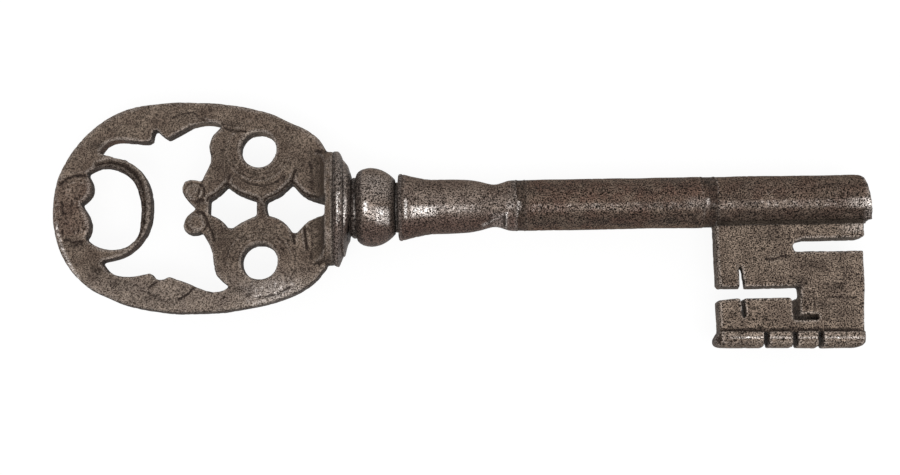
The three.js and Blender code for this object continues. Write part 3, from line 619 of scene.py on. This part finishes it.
def bow_relief(places, normals):
    along, across, _ = places.T
    front = front_side(normals)
    height = carved(places, BOW_LINES)
    ring_edge = line_distance(places, RING_EDGE)
    height -= RING_BEVEL_DEPTH * np.clip(1 - ring_edge / RING_BEVEL_WIDTH, 0, 1) * front
    for edge in STAR_EDGES:
        slope = np.clip(1.4 - line_distance(places, edge) / STAR_BEVEL_WIDTH, 0, 1)
        height -= STAR_BEVEL_DEPTH * slope * front
    for x, y in EYES:
        height += EYE_LIFT * (1 - fade(np.hypot(along - x, across - y), *EYE_EDGE))
        height -= eye_arcs(places, x, y)
    for boss in NOSE_BOSSES:
        reach, to_right = round_reach(places, boss)
        height += BOSS_HEIGHT * np.sqrt(np.clip(1 - reach ** 2, 0, 1))
        deeper = 0.35 + 0.65 * fade(to_right, -0.6, 0.8)
        height -= BOSS_GROOVE_DEPTH * deeper * ridge(reach, *BOSS_GROOVE)
    for lobe in HEART_LOBES:
        height += LOBE_HEIGHT * (1 - fade(round_reach(places, lobe)[0], *LOBE_EDGE))
    flat = fade(np.abs(normals[:, 2]), *CARVED_FACES)
    pits = HEART_PITS * pitted(places, spread=0.6, seed=21.0) * heart_panel(places)
    height = (height - pits) * flat
    swell = RING_SWELL * fade(along, *RING_SWELL_ALONG) * fade(across, *RING_SWELL_ACROSS)
    height += swell * (1 - fade(ring_edge, 0.8, 1.2)) * (1 - flat)
    return height + SHOULDER_SEAT * fade(normals[:, 0], 0.7, 0.95) * fade(along, -0.6, -0.2)


def round_reach(places, circle):
    """Distance from a circle's middle, and how far to the right, as shares of its radius."""
    x, y, radius = circle
    to_right = (places[:, 0] - x) / radius
    return np.hypot(to_right, (places[:, 1] - y) / radius), to_right


def eye_arcs(places, x, y):
    """Three worn arcs round an eye, on its side towards the middle of the bow."""
    reach = np.hypot(places[:, 0] - x, places[:, 1] - y)
    inward = fade(-np.sign(y) * (places[:, 1] - y) / np.maximum(reach, 0.1), 0.0, 0.5)
    return ARC_DEPTH * inward * sum(ridge(reach, radius, ARC_WIDTH) for radius in ARC_RADII)


def heart_panel(places):
    left = 1 - fade(places[:, 0], *HEART_END)
    return left * (1 - fade(np.abs(places[:, 1] - HEART_MIDDLE), *HEART_SIDES))


def highlight_line(places):
    return ridge(line_distance(places, LOWER_LEFT_LINE), 0, 0.26)


def bow_highlights(places, normals):
    """Painted highlights on the rim towards the bit, near the shoulder and at the far end, and a
    faint painted lightening of the walls at the far end and of the edge towards the bit.
    """
    along, across, _ = places.T
    rim = 1 - fade(across + 0.025 * (along + 12.0) ** 2, -15.5, -11.5)
    lower_rim = 0.55 * rim * fade(along, -19.0, -10.0)
    lower_left = (1 - fade(along, -44.0, -38.0)) * (1 - fade(across, -10.0, -2.0))
    bright = strongest(lower_rim, 0.9 * highlight_line(places))
    bright *= broken(places, least=0.35, spread=0.7, seed=5.0)
    bright += 0.12 * lower_left * walls(normals, 0.80, 0.97)
    bright += 0.06 * (1 - fade(across, -15.0, -9.0))
    return bright * fade(normals[:, 2], -0.2, 0.3)


def bow_stain_and_shade(places, normals):
    """Painted shade on the walls of the openings and of the rim towards the bit, on the filed
    slopes and as rings round the bosses, darkest on their right; dark arcs and scratch lines, and
    the stains of the table.
    """
    along, across, _ = places.T
    front = front_side(normals)
    inner = 1 - fade(((along + 25) / 24.0) ** 2 + (across / 16.5) ** 2, 0.85, 1.0)
    outer = (1 - inner) * fade(-across, -4.0, 6.0) * (1 - highlight_line(places))
    rims = strongest(0.9 * inner, 0.95 * outer) * walls(normals, 0.35, 0.75)
    slopes = [0.55 * (1 - fade(line_distance(places, RING_EDGE), 0.6, 0.95)) * front]
    for edge in STAR_EDGES:
        slopes.append(0.7 * (1 - fade(line_distance(places, edge), 0.4, 0.65)) * front)
    arcs = sum(3.0 * eye_arcs(places, x, y) for x, y in EYES)
    lines = np.clip(arcs - 2.2 * carved(places, BOW_LINES), 0, 0.5) * front
    shades = []
    for boss in NOSE_BOSSES:
        reach, to_right = round_reach(places, boss)
        shade = 0.05 + 0.45 * fade(to_right, 0.2, 1.0)
        shades.append(shade * ridge(reach, *BOSS_SHADE) * front)
    return strongest(patches(places, BOW_STAINS), rims, lines, *slopes, *shades)


def bow_rust(places, normals):
    ring = within(places[:, 0], *RING_SPAN) * walls(normals, 0.3, 0.6)
    return strongest(0.25 * heart_panel(places), 0.6 * ring)


# The mouldings. A rim is the collar or its disc. Lines across a rim are (middle, width) along
# the stem, and their spans run across it.
SEAT = 0.12
RIM_BOW, RIM_DEPTH, RIM_OVAL = 0.6, 8.3, 1.3
RIM_ENDS = (5.0, 8.5)
COLLAR_CORNER, DISC_CORNER = 0.75, 1.75
COLLAR_LINE, COLLAR_LINE_SPAN = (0.62, 0.16), (-4.6, -3.2, 0.8, 2.2)
COLLAR_RIDGE, COLLAR_RIDGE_SPAN = (1.0, 0.3), (-5.5, -3.0, 1.0, 4.0)
DISC_LINE, DISC_LINE_SPAN = (2.0, 0.34), (-5.0, -3.4, -0.8, 1.6)
BEAD_GLINT = dict(start=3.8, end=3.95, low=-0.2, high=0.35, edge=0.08)
KNOP_REAR_GLINT = dict(start=5.8, end=6.5, low=0.06, high=0.26)
KNOP_MIDDLE_GLINT = dict(start=6.5, end=8.3, low=0.18, high=0.42, strength=0.22)
KNOP_FRONT_GLINT = dict(start=8.0, end=10.4, low=0.20, high=0.48)


def seated_ends(places, normals):
    """Both ends run a little into the neighbouring pieces, so that no crack shows."""
    return SEAT * fade(np.abs(normals[:, 0]), 0.7, 0.95)


def bowed(places, low_corner, high_corner):
    """Bows a rim forward in its middle, and knocks its front corners off to a reach."""
    bent = places.copy()
    reach = np.hypot(places[:, 1], places[:, 2] * RIM_OVAL)
    corner = np.where(places[:, 1] < 0, low_corner, high_corner)
    kept = np.minimum(1, corner / np.maximum(reach, 1))
    ends = fade(np.abs(places[:, 1]), *RIM_ENDS)
    bent[:, 1:] *= (1 - ends * (1 - kept))[:, None]
    bent[:, 0] += RIM_BOW * np.clip(np.abs(places[:, 2]) / RIM_DEPTH, 0, 1) ** 2
    return bent


def knocked_corner(beyond, reach, slope=0.0, start=0.0, curve=0.0):
    """How far out a rim reaches: it slopes in beyond its corner, and curves in past start."""
    return reach - slope * np.clip(beyond, 0, 2) - curve * np.clip(beyond - start, 0, 1) ** 2


def bowed_collar(places):
    beyond = places[:, 0] - COLLAR_CORNER
    return bowed(places, knocked_corner(beyond, 10.95, slope=2.3),
                 knocked_corner(beyond, 10.6, curve=1.6))


def bowed_disc(places):
    """The disc's lower half also leans back against the collar."""
    beyond = places[:, 0] - DISC_CORNER
    bent = bowed(places, knocked_corner(beyond, 9.4, slope=2.2, start=0.85, curve=4.0),
                 knocked_corner(beyond + 0.2, 9.3, slope=1.25, start=0.95, curve=3.0))
    bent[:, 0] -= 0.6 * fade(-places[:, 1], 1.5, 5.0) * fade(places[:, 0], 1.6, 3.0)
    return bent


def painted_shade_side(normals):
    """The side towards the bit of a round piece, which is painted darker as shade."""
    return fade(-normals[:, 1], 0.30, 0.75)


# A red-brown tint on the side towards the bit, which is also painted darker as shade
def round_rust(places, normals):
    return 0.8 * painted_shade_side(normals)


def rim_rust(places, normals):
    return 0.6 * (1 - fade(places[:, 1], -4.0, 1.0))


def collar_highlights(places, normals):
    """Painted highlights: a thin bright line, and a spotted bright ridge in front of it."""
    along, across, _ = places.T
    line = ridge(along, *COLLAR_LINE) * within(across, *COLLAR_LINE_SPAN)
    spots = within(across, *COLLAR_RIDGE_SPAN) * pitted(places, spread=0.45, seed=9.0)
    spotted = (0.10 + 0.8 * spots) * ridge(along, *COLLAR_RIDGE)
    return strongest(line, spotted) * fade(normals[:, 2], 0.2, 0.6)


# Painted shade at the rear against the shoulder and at the front against the disc, and an even
# darker tone that deepens towards the bit
def collar_stain_and_shade(places, normals):
    along, across, _ = places.T
    rear = 0.95 * (1 - fade(along, 0.30, 0.45))
    seam = 0.7 * fade(along, 1.15, 1.4)
    return strongest(rear, seam, 0.3 + 0.3 * (1 - fade(across, -4.5, -1.5)))


# Painted highlight: a bright line along the disc's crown, broken by pits
def disc_highlights(places, normals):
    bright = within(places[:, 1], *DISC_LINE_SPAN)
    bright *= broken(places, least=0.7, spread=0.5, seed=6.0)
    return (0.06 + bright) * ridge(places[:, 0], *DISC_LINE) * fade(normals[:, 2], 0.2, 0.6)


# Painted shade on the disc's front face and at its rear against the collar, and an even darker tone
# that deepens towards the bit
def disc_stain_and_shade(places, normals):
    along, across, _ = places.T
    front = 0.95 * fade(along, 2.35, 2.7) * (1 - fade(np.abs(across), 5.0, 8.0))
    rear = 0.8 * (1 - fade(along, 1.55, 1.75))
    return strongest(front, rear, 0.25 + 0.3 * (1 - fade(across, -6.0, -3.5)))


def bead_relief(places, normals):
    """The cove runs up towards the knop."""
    return seated_ends(places, normals) + 0.75 * fade(places[:, 0], 3.5, 4.3)


# Painted highlight: a thin bright line across the bead
def bead_highlight(places, normals):
    return 0.7 * glint(places, normals, **BEAD_GLINT)


# The whole bead is painted dark as the shade of the cove, less so under its painted highlight
def bead_shade(places, normals):
    return 1.0 - 0.5 * glint(places, normals, **BEAD_GLINT)


def knop_relief(places, normals):
    """The ball sits a hair off the stem's line, away from the bit."""
    return 0.13 * normals[:, 1]


# Painted highlights on the knop, and a faint painted lightening of its side away from the bit
def knop_highlights(places, normals):
    rear = glint(places, normals, **KNOP_REAR_GLINT)
    middle = glint(places, normals, **KNOP_MIDDLE_GLINT)
    front = glint(places, normals, **KNOP_FRONT_GLINT)
    front *= broken(places, least=0.55, spread=0.6, seed=7.0)
    return strongest(rear, middle, front) + 0.07 * within(normals[:, 1], -0.1, 0.2, 0.6, 0.85)


# Painted shade at the rear in the cove, at the front by the washer, and on the side towards the bit
def knop_shade(places, normals):
    rear = 0.95 * (1 - fade(places[:, 0], 5.0, 5.8))
    front = 0.8 * fade(places[:, 0], 10.4, 11.1)
    return strongest(rear, front, 0.5 * painted_shade_side(normals))


# The neck: its two turned grooves, the ridges round the flat that the hammer left on its
# waist, and its painted highlights
NECK_GROOVES = [(0.14, 12.75, 0.16), (0.04, 16.7, 0.25)]
FACET_LINES = [
    (0.22, -0.16, [(27.3, -3.9), (29.0, -3.1), (30.7, -2.3), (31.6, -2.1)]),
    (0.16, -0.20, [(31.65, -2.0), (31.6, -4.2)]),
]
FACET_SPAN = (28.0, 29.5, 31.5, 31.7)
NECK_LIP_GLINT = dict(start=13.15, end=13.6, low=0.0, high=0.42, edge=0.12)
NECK_REAR_GLINT = dict(start=14.2, end=18.8, low=0.18, high=0.42, edge=0.6)
NECK_MIDDLE_GLINT = dict(start=18.0, end=26.0, low=0.12, high=0.36, edge=2.0, strength=0.32)
NECK_FORE_GLINT = dict(start=31.6, end=33.0, low=0.05, high=0.25, strength=0.2)


def neck_relief(places, normals):
    grooves = sum(depth * ridge(places[:, 0], *line) for depth, *line in NECK_GROOVES)
    return carved(places, FACET_LINES) * front_side(normals) - grooves


# Painted highlights on the lip, the neck, its waist and the ridges round the waist's flat, and a
# faint painted lightening of its lit side
def neck_highlights(places, normals):
    spots = broken(places, least=0.3, spread=0.5, seed=8.0)
    half_broken = 0.4 + 0.6 * spots
    lip = glint(places, normals, **NECK_LIP_GLINT)
    rear = glint(places, normals, **NECK_REAR_GLINT) * half_broken
    middle = glint(places, normals, **NECK_MIDDLE_GLINT) * spots
    fore = glint(places, normals, **NECK_FORE_GLINT)
    ridges = 4.5 * carved(places, FACET_LINES) * half_broken * front_side(normals)
    flat = 0.2 * within(places[:, 0], *FACET_SPAN) * fade(-normals[:, 1], 0.4, 0.6)
    lit_side = fade(normals[:, 2], 0.55, 0.9) * fade(-normals[:, 1], -0.5, 0.0)
    return strongest(lip, rear, middle, fore, ridges, flat) + 0.04 * lit_side


# Painted shade at the front end by the band, strongest at the sides, behind the groove at the lip,
# and on the side towards the bit
def neck_shade(places, normals):
    seam = 0.3 + 0.3 * fade(np.abs(normals[:, 1]), 0.2, 0.6)
    rear = 0.65 * (1 - fade(places[:, 0], 12.75, 12.95))
    return strongest(seam * fade(places[:, 0], 32.4, 33.0), rear, 0.5 * painted_shade_side(normals))


# The tubes and the bands of braze between them
REAR_BAND_SPOT = dict(start=33.4, end=34.2, low=0.04, high=0.26)
SHANK_REAR_GLINT = dict(**REAR_BAND_SPOT, edge=0.25, strength=0.5)
SHANK_FORE_GLINT = dict(start=67.8, end=68.4, low=0.04, high=0.24, edge=0.25, strength=0.4)
SHANK_END_GLINT = dict(start=64.5, end=68.0, low=0.0, high=0.3, edge=1.0, strength=0.08)
BARREL_MOUTH_GLINT = dict(start=90.0, end=99.0, low=0.12, high=0.42, strength=0.35)
HIGHLIGHT_TURN = (0.04, 0.22, 0.34, 0.5)
SHANK_MIDDLE = 50.0
STREAK_STRETCH, STREAK_SPREAD = 0.3, 1.4
BAND_SEAT, BAND_PROUD = 0.4, 0.01


def tube_highlight_band(places, normals):
    """A faint, broken painted highlight along the front of a tube, where the main light reflects.
    """
    band = 0.14 * within(-normals[:, 1], *HIGHLIGHT_TURN) * front_side(normals)
    return band * broken(places, least=0.3, spread=0.6, seed=10.0)


def streaks(places, seed):
    """Dark streaks that run along a tube."""
    stretched = places * np.array([STREAK_STRETCH, 1, 1])
    return fade(unevenness(stretched, STREAK_SPREAD, seed), 0.1, 0.9)


# Painted highlights at the ends of the shank, and the painted highlight band along it
def shank_highlights(places, normals):
    ends = [glint(places, normals, **patch)
            for patch in (SHANK_REAR_GLINT, SHANK_FORE_GLINT, SHANK_END_GLINT)]
    return strongest(*ends) + tube_highlight_band(places, normals)


# Painted shade on the side towards the bit and, fainter, on the side away from it; dark streaks
# along the tube and a darker rear end
def tube_stain_and_shade(places, normals):
    low = within(-normals[:, 1], 0.30, 0.65, 0.85, 0.98)
    high = within(normals[:, 1], 0.25, 0.5, 0.75, 0.95)
    sides = 0.45 * low + 0.125 * high + 0.35 * streaks(places, seed=4.0)
    return strongest(sides, 0.6 * (1 - fade(places[:, 0], 34.9, 35.6)))


# Painted highlights near the mouth, on the mouth's face and along the barrel
def barrel_highlights(places, normals):
    along, across, _ = places.T
    mouth = glint(places, normals, **BARREL_MOUTH_GLINT) * fade(along, 91.5, 96.5)
    lip = fade(along, 96.0, 97.6) * fade(-across, -1.0, 1.5) * fade(normals[:, 2], 0.3, 0.8)
    return strongest(mouth, 1.4 * tube_highlight_band(places, normals)) + 0.3 * lip


# Painted shade on the side towards the bit, dark streaks along the barrel, and a darker rear end
def barrel_stain_and_shade(places, normals):
    side = 0.55 * fade(-normals[:, 1], 0.30, 0.65) + 0.3 * streaks(places, seed=5.0)
    return strongest(side, 0.65 * (1 - fade(places[:, 0], 69.6, 70.3)))


def band_relief(places, normals):
    """A band of braze that lies flush with the tubes and runs in under their ends."""
    ends = fade(np.abs(normals[:, 0]), 0.6, 0.9)
    return BAND_SEAT * ends + BAND_PROUD * (1 - ends)


def band_stain(places, normals):
    """The rear band is dark but for its glint, the fore one past a line that leans back."""
    along, across, _ = places.T
    spot = glint(places, normals, **REAR_BAND_SPOT)
    rear = 0.35 * (1 - spot) * (along < SHANK_MIDDLE)
    leaning = along + 0.5 * fade(across, 0.0, 4.0)
    return 0.15 + rear + 0.5 * fade(leaning, 68.1, 68.7)


# The bit: the line where its toe begins, the sunk field beside the hooked cut, the slope
# down its rear edge, and the spans of the toe's ledge and of the painted highlight line on it
BIT_REAR, TOE_LINE, TOE_LEAN = 70.0, -24.0, -0.017
SUNK_DEPTH, SUNK_ALONG, SUNK_ACROSS = 0.05, (84.6, 84.9, 86.9, 87.2), (-20.8, -20.5, -17.1, -16.8)
REAR_SLOPE_START, REAR_SLOPE_WIDTH, REAR_SLOPE_DEPTH = 69.95, 0.4, 0.4
LEDGE_SPAN, LEDGE_LINE_SPAN = (0.3, 0.6, 1.4, 1.6), (0.95, 1.1, 1.25, 1.4)
SLITS_SPAN = (71.5, 73.0, 91.0, 93.0)


def below_toe_line(places):
    return TOE_LINE + TOE_LEAN * (places[:, 0] - BIT_REAR) - places[:, 1]


def bit_relief(places, normals):
    along, across, _ = places.T
    sunk = SUNK_DEPTH * within(along, *SUNK_ALONG) * within(across, *SUNK_ACROSS)
    slope = REAR_SLOPE_DEPTH * np.clip((REAR_SLOPE_START - along) / REAR_SLOPE_WIDTH, 0, 1)
    height = carved(places, BIT_LINES) - (sunk + slope) * front_side(normals)
    return height * fade(np.abs(normals[:, 2]), *CARVED_FACES)


# Painted highlights: the bright line on the toe's ledge and the far corner by the barrel, and a
# faint lightening of the ledge
def bit_highlights(places, normals):
    along, across, _ = places.T
    below = below_toe_line(places)
    line = within(below, *LEDGE_LINE_SPAN) * fade(along, 71.0, 72.5)
    line *= broken(places, least=0.35, spread=1.6, seed=3.0)
    corner = fade(along, 91.0, 96.0) * fade(across, -7.0, -5.8)
    bright = 0.05 * within(below, *LEDGE_SPAN) + 0.95 * line + 0.2 * corner
    return bright * fade(normals[:, 2], 0.4, 0.8)


# Painted shadow along the toe line and under the barrel; painted shade on the nose, the walls above
# the toe, the sloped rear edge and the walls of the slits; dark scratches and the stains of the
# table
def bit_stain_and_shade(places, normals):
    along, across, _ = places.T
    below = below_toe_line(places)
    toe_line = 0.5 * ridge(below, -0.1, 0.25)
    nose = 0.25 * fade(below, 1.6, 1.9)
    under_barrel_shadow = 0.8 * ridge(across, -4.3, 0.35)
    edges = 0.4 * walls(normals, 0.2, 0.5) * (1 - fade(below, 0.0, 0.5))
    rear = 0.6 * (1 - fade(along, 69.6, 69.9))
    slits = 0.95 * fade(np.abs(normals[:, 0]), 0.4, 0.7) * fade(below, 0.0, 0.3)
    slits *= within(along, *SLITS_SPAN)
    scratches = np.clip(-3.0 * carved(places, BIT_LINES), 0, 0.6)
    stains = np.minimum(1.3 * patches(places, BIT_STAINS), 0.7)
    return strongest(toe_line, nose, under_barrel_shadow, edges, rear, slits, scratches, stains)


class KEY_OT_bow(bpy.types.Operator):
    """Dress the pierced bow"""

    bl_idname = "ring_key.bow"
    bl_label = "Bow"

    def execute(self, context):
        material = iron("bow_iron", tuple(colours().patina), rustiness=0.15, contrast=1.2)
        forging("bow", material, "forged_iron", bow_relief, bow_highlights, bow_stain_and_shade, bow_rust,
                detail=0.9, passes=2)
        return {"FINISHED"}


class KEY_OT_mouldings(bpy.types.Operator):
    """Dress the collar, the disc, the bead and the knop"""

    bl_idname = "ring_key.mouldings"
    bl_label = "Mouldings"

    def execute(self, context):
        tint = tuple(colours().turned_patina)
        material = iron("moulding_iron", tint, shine_all_over=0.04, smoothness=0.16,
                        roughcast=0.8, contrast=2.0)
        turned = {
            "base_collar": (seated_ends, collar_highlights, collar_stain_and_shade, rim_rust),
            "collar_disc": (seated_ends, disc_highlights, disc_stain_and_shade, rim_rust),
            "collar_bead": (bead_relief, bead_highlight, bead_shade, nothing),
            "knop": (knop_relief, knop_highlights, knop_shade, round_rust),
        }
        bends = {"base_collar": bowed_collar, "collar_disc": bowed_disc}
        for name, look in turned.items():
            forging(name, material, "worn_iron", *look, detail=0.8, passes=2, hammer=0.5, pits=0.6,
                    bend=bends.get(name))
        # The washer in the gap between the knop and the neck is painted near black as the gap's
        # shade
        dark = iron("gap_shade_iron", tinted(tint, 0.3))
        forging("knop_washer", dark, "braze", detail=0.6, passes=1)
        return {"FINISHED"}


class KEY_OT_neck(bpy.types.Operator):
    """Dress the lipped neck socket"""

    bl_idname = "ring_key.neck"
    bl_label = "Neck"

    def execute(self, context):
        material = iron("neck_iron", tuple(colours().turned_patina), rustiness=0.2,
                        shine_all_over=0.02, smoothness=0.10, roughcast=1.2, contrast=2.0)
        forging("neck_socket", material, "worn_iron", neck_relief, neck_highlights, neck_shade,
                round_rust, passes=2, hammer=0.7)
        return {"FINISHED"}


class KEY_OT_shank(bpy.types.Operator):
    """Dress the shank tube and the brazed bands at its ends"""

    bl_idname = "ring_key.shank"
    bl_label = "Shank"

    def execute(self, context):
        tint = tuple(colours().tube_patina)
        material = iron("shank_iron", tint, rustiness=0.55, contrast=2.2, rubbing=0.04)
        forging("shank_tube", material, "rusted_iron", nothing, shank_highlights, tube_stain_and_shade,
                passes=1, hammer=0.7)
        dark = iron("braze_line", tinted(tint, 0.8), rubbing=0.0, rustiness=0.5, contrast=1.8)
        for name in ("neck_braze", "barrel_braze"):
            forging(name, dark, "braze", band_relief, shank_highlights, band_stain, detail=0.7,
                    passes=0, hammer=0.4)
        return {"FINISHED"}


class KEY_OT_bit(bpy.types.Operator):
    """Dress the barrel, the bit and the braze between them"""

    bl_idname = "ring_key.bit"
    bl_label = "Bit"

    def execute(self, context):
        tint = tuple(colours().patina)
        material = iron("bit_iron", tinted(tint, 1.06), rustiness=0.1, contrast=2.1)
        tube = iron("barrel_iron", tuple(colours().tube_patina), rustiness=0.3, contrast=2.2)
        forging("bit", material, "forged_iron", bit_relief, bit_highlights, bit_stain_and_shade,
                detail=0.85, passes=2, hammer=0.8)
        forging("bit_barrel", tube, "forged_iron", nothing, barrel_highlights, barrel_stain_and_shade,
                passes=2, hammer=0.8)
        # The braze fillets under the barrel are painted near black as the crevice's shadow
        dark = iron("fillet_shade_iron", tinted(tint, 0.25))
        for name in ("bit_braze_front", "bit_braze_back"):
            forging(name, dark, "braze", detail=0.5, passes=1, hammer=0.3)
        return {"FINISHED"}


# The lamps, the floor and the camera. Lean is from straight above, turn is about it, and the
# aim is in millimetres along and across the stem. The rest is in metres.
LAMP_AIM = (20, -4)
MAIN_LIGHT = dict(lean=math.radians(24), turn=0.0, distance=0.6, width=0.5, height=0.24)
FILL_LIGHT = dict(lean=math.radians(55), turn=math.radians(150), distance=0.7, width=0.4,
                  height=0.3)
FLOOR_REACH = 1.5
NEAREST_SEEN = 0.01
# The floor's own glow, and the glow's share of the floor as the camera sees it
FLOOR_GLOW, FLOOR_GLOW_SHARE = 1.12, 0.8
WHITE = (1, 1, 1, 1)


def soft_lamp(name, brightness, lean, turn, distance, width, height):
    """An oblong soft light that faces the key."""
    light = bpy.data.lights.new(name, "AREA")
    light.shape = "RECTANGLE"
    light.size = width
    light.size_y = height
    light.energy = brightness * math.pi * width * height
    lamp = placed(name, light)
    away = Vector((math.sin(lean) * math.sin(turn), -math.sin(lean) * math.cos(turn),
                   math.cos(lean)))
    lamp.location = stem_point(*LAMP_AIM) + away * distance
    lamp.rotation_euler = away.to_track_quat("Z", "Y").to_euler()


def background_rays(tree, place):
    """1 for rays that come from the camera or from a gloss or a glass, and 0 for the rest."""
    path = add_node(tree, "ShaderNodeLightPath", place)
    seen = arithmetic(tree, (place[0] + 200, place[1]), "MAXIMUM",
                      path.outputs["Is Camera Ray"], path.outputs["Is Glossy Ray"])
    return arithmetic(tree, (place[0] + 400, place[1]), "MAXIMUM",
                      seen, path.outputs["Is Transmission Ray"])


def white_surroundings(strength):
    world = bpy.data.worlds.new("white_surroundings")
    bpy.context.scene.world = world
    tree = bare_tree(world)
    level = ramp(tree, (0, 0), background_rays(tree, (-700, 0)), 0.0, 1.0, strength, 1.0)
    sky = add_node(tree, "ShaderNodeBackground", (300, 0), {"Color": WHITE, "Strength": level})
    add_node(tree, "ShaderNodeOutputWorld", (600, 0), {"Surface": sky.outputs["Background"]})


def floor_material(colour):
    """A pale floor that stays near white for the camera and keeps a soft shadow."""
    material = bpy.data.materials.new("pale_floor")
    tree = bare_tree(material)
    matt = add_node(tree, "ShaderNodeBsdfDiffuse", (0, 100), {"Color": (*colour, 1)})
    glow = add_node(tree, "ShaderNodeEmission", (0, -100), {"Color": WHITE, "Strength": FLOOR_GLOW})
    share = arithmetic(tree, (0, 300), "MULTIPLY", background_rays(tree, (-700, 300)),
                       FLOOR_GLOW_SHARE)
    both = add_node(tree, "ShaderNodeMixShader", (300, 0), {
        "Fac": share, 1: matt.outputs["BSDF"], 2: glow.outputs["Emission"],
    })
    add_node(tree, "ShaderNodeOutputMaterial", (600, 0), {"Surface": both.outputs["Shader"]})
    return material


def aimed_camera(stage):
    """A camera tilted towards the bit and rolled a little about its line of sight."""
    lens = bpy.data.cameras.new("camera")
    lens.lens = stage.lens
    lens.clip_start = NEAREST_SEEN
    camera = placed("camera", lens)
    tilt, roll = stage.camera_tilt, stage.camera_roll
    back = Vector((0, -math.sin(tilt), math.cos(tilt)))
    level = Vector((1, 0, 0))
    upright = back.cross(level)
    up = upright * math.cos(roll) + level * math.sin(roll)
    right = level * math.cos(roll) - upright * math.sin(roll)
    target = STEM + Vector((stage.target[0], stage.target[1], 0))
    turn = Matrix((right, up, back)).transposed().to_4x4()
    camera.matrix_world = Matrix.Translation(target + back * stage.camera_distance) @ turn
    return camera


class KEY_OT_stage(bpy.types.Operator):
    """Set the floor, the lights and the camera"""

    bl_idname = "ring_key.stage"
    bl_label = "Stage"

    def execute(self, context):
        stage = context.scene.key_stage
        work = bmesh.new()
        bmesh.ops.create_grid(work, x_segments=1, y_segments=1, size=FLOOR_REACH)
        mesh = bpy.data.meshes.new("floor")
        work.to_mesh(mesh)
        work.free()
        mesh.materials.append(floor_material(tuple(colours().floor)))
        placed("floor", mesh)
        white_surroundings(stage.room_light)
        soft_lamp("main_light", stage.key_light, **MAIN_LIGHT)
        soft_lamp("fill_light", stage.fill_light, **FILL_LIGHT)
        context.scene.camera = aimed_camera(stage)
        context.scene.view_settings.view_transform = "Standard"
        return {"FINISHED"}


class KEY_PT_panel(bpy.types.Panel):
    """Lists the steps and the settings of the key"""

    bl_idname = "KEY_PT_panel"
    bl_label = "Ring Key"
    bl_space_type = "VIEW_3D"
    bl_region_type = "UI"
    bl_category = "Ring Key"

    def draw(self, context):
        layout = self.layout
        for group in SETTINGS:
            box = layout.box()
            for name in getattr(context.scene, group).bl_rna.properties.keys():
                if name not in ("rna_type", "name"):
                    box.prop(getattr(context.scene, group), name)
        for operator in OPERATORS:
            layout.operator(operator.bl_idname)


OPERATORS = [KEY_OT_bow, KEY_OT_mouldings, KEY_OT_neck, KEY_OT_shank, KEY_OT_bit, KEY_OT_stage]
CLASSES = [*SETTINGS.values(), *OPERATORS, KEY_PT_panel]


def register():
    for made in CLASSES:
        bpy.utils.register_class(made)
    for name, group in SETTINGS.items():
        setattr(bpy.types.Scene, name, bpy.props.PointerProperty(type=group))


def unregister():
    for name in SETTINGS:
        delattr(bpy.types.Scene, name)
    for made in reversed(CLASSES):
        bpy.utils.unregister_class(made)


def main():
    register()
    bpy.ops.ring_key.bow()
    bpy.ops.ring_key.mouldings()
    bpy.ops.ring_key.neck()
    bpy.ops.ring_key.shank()
    bpy.ops.ring_key.bit()
    bpy.ops.ring_key.stage()


if __name__ == "__main__":
    main()
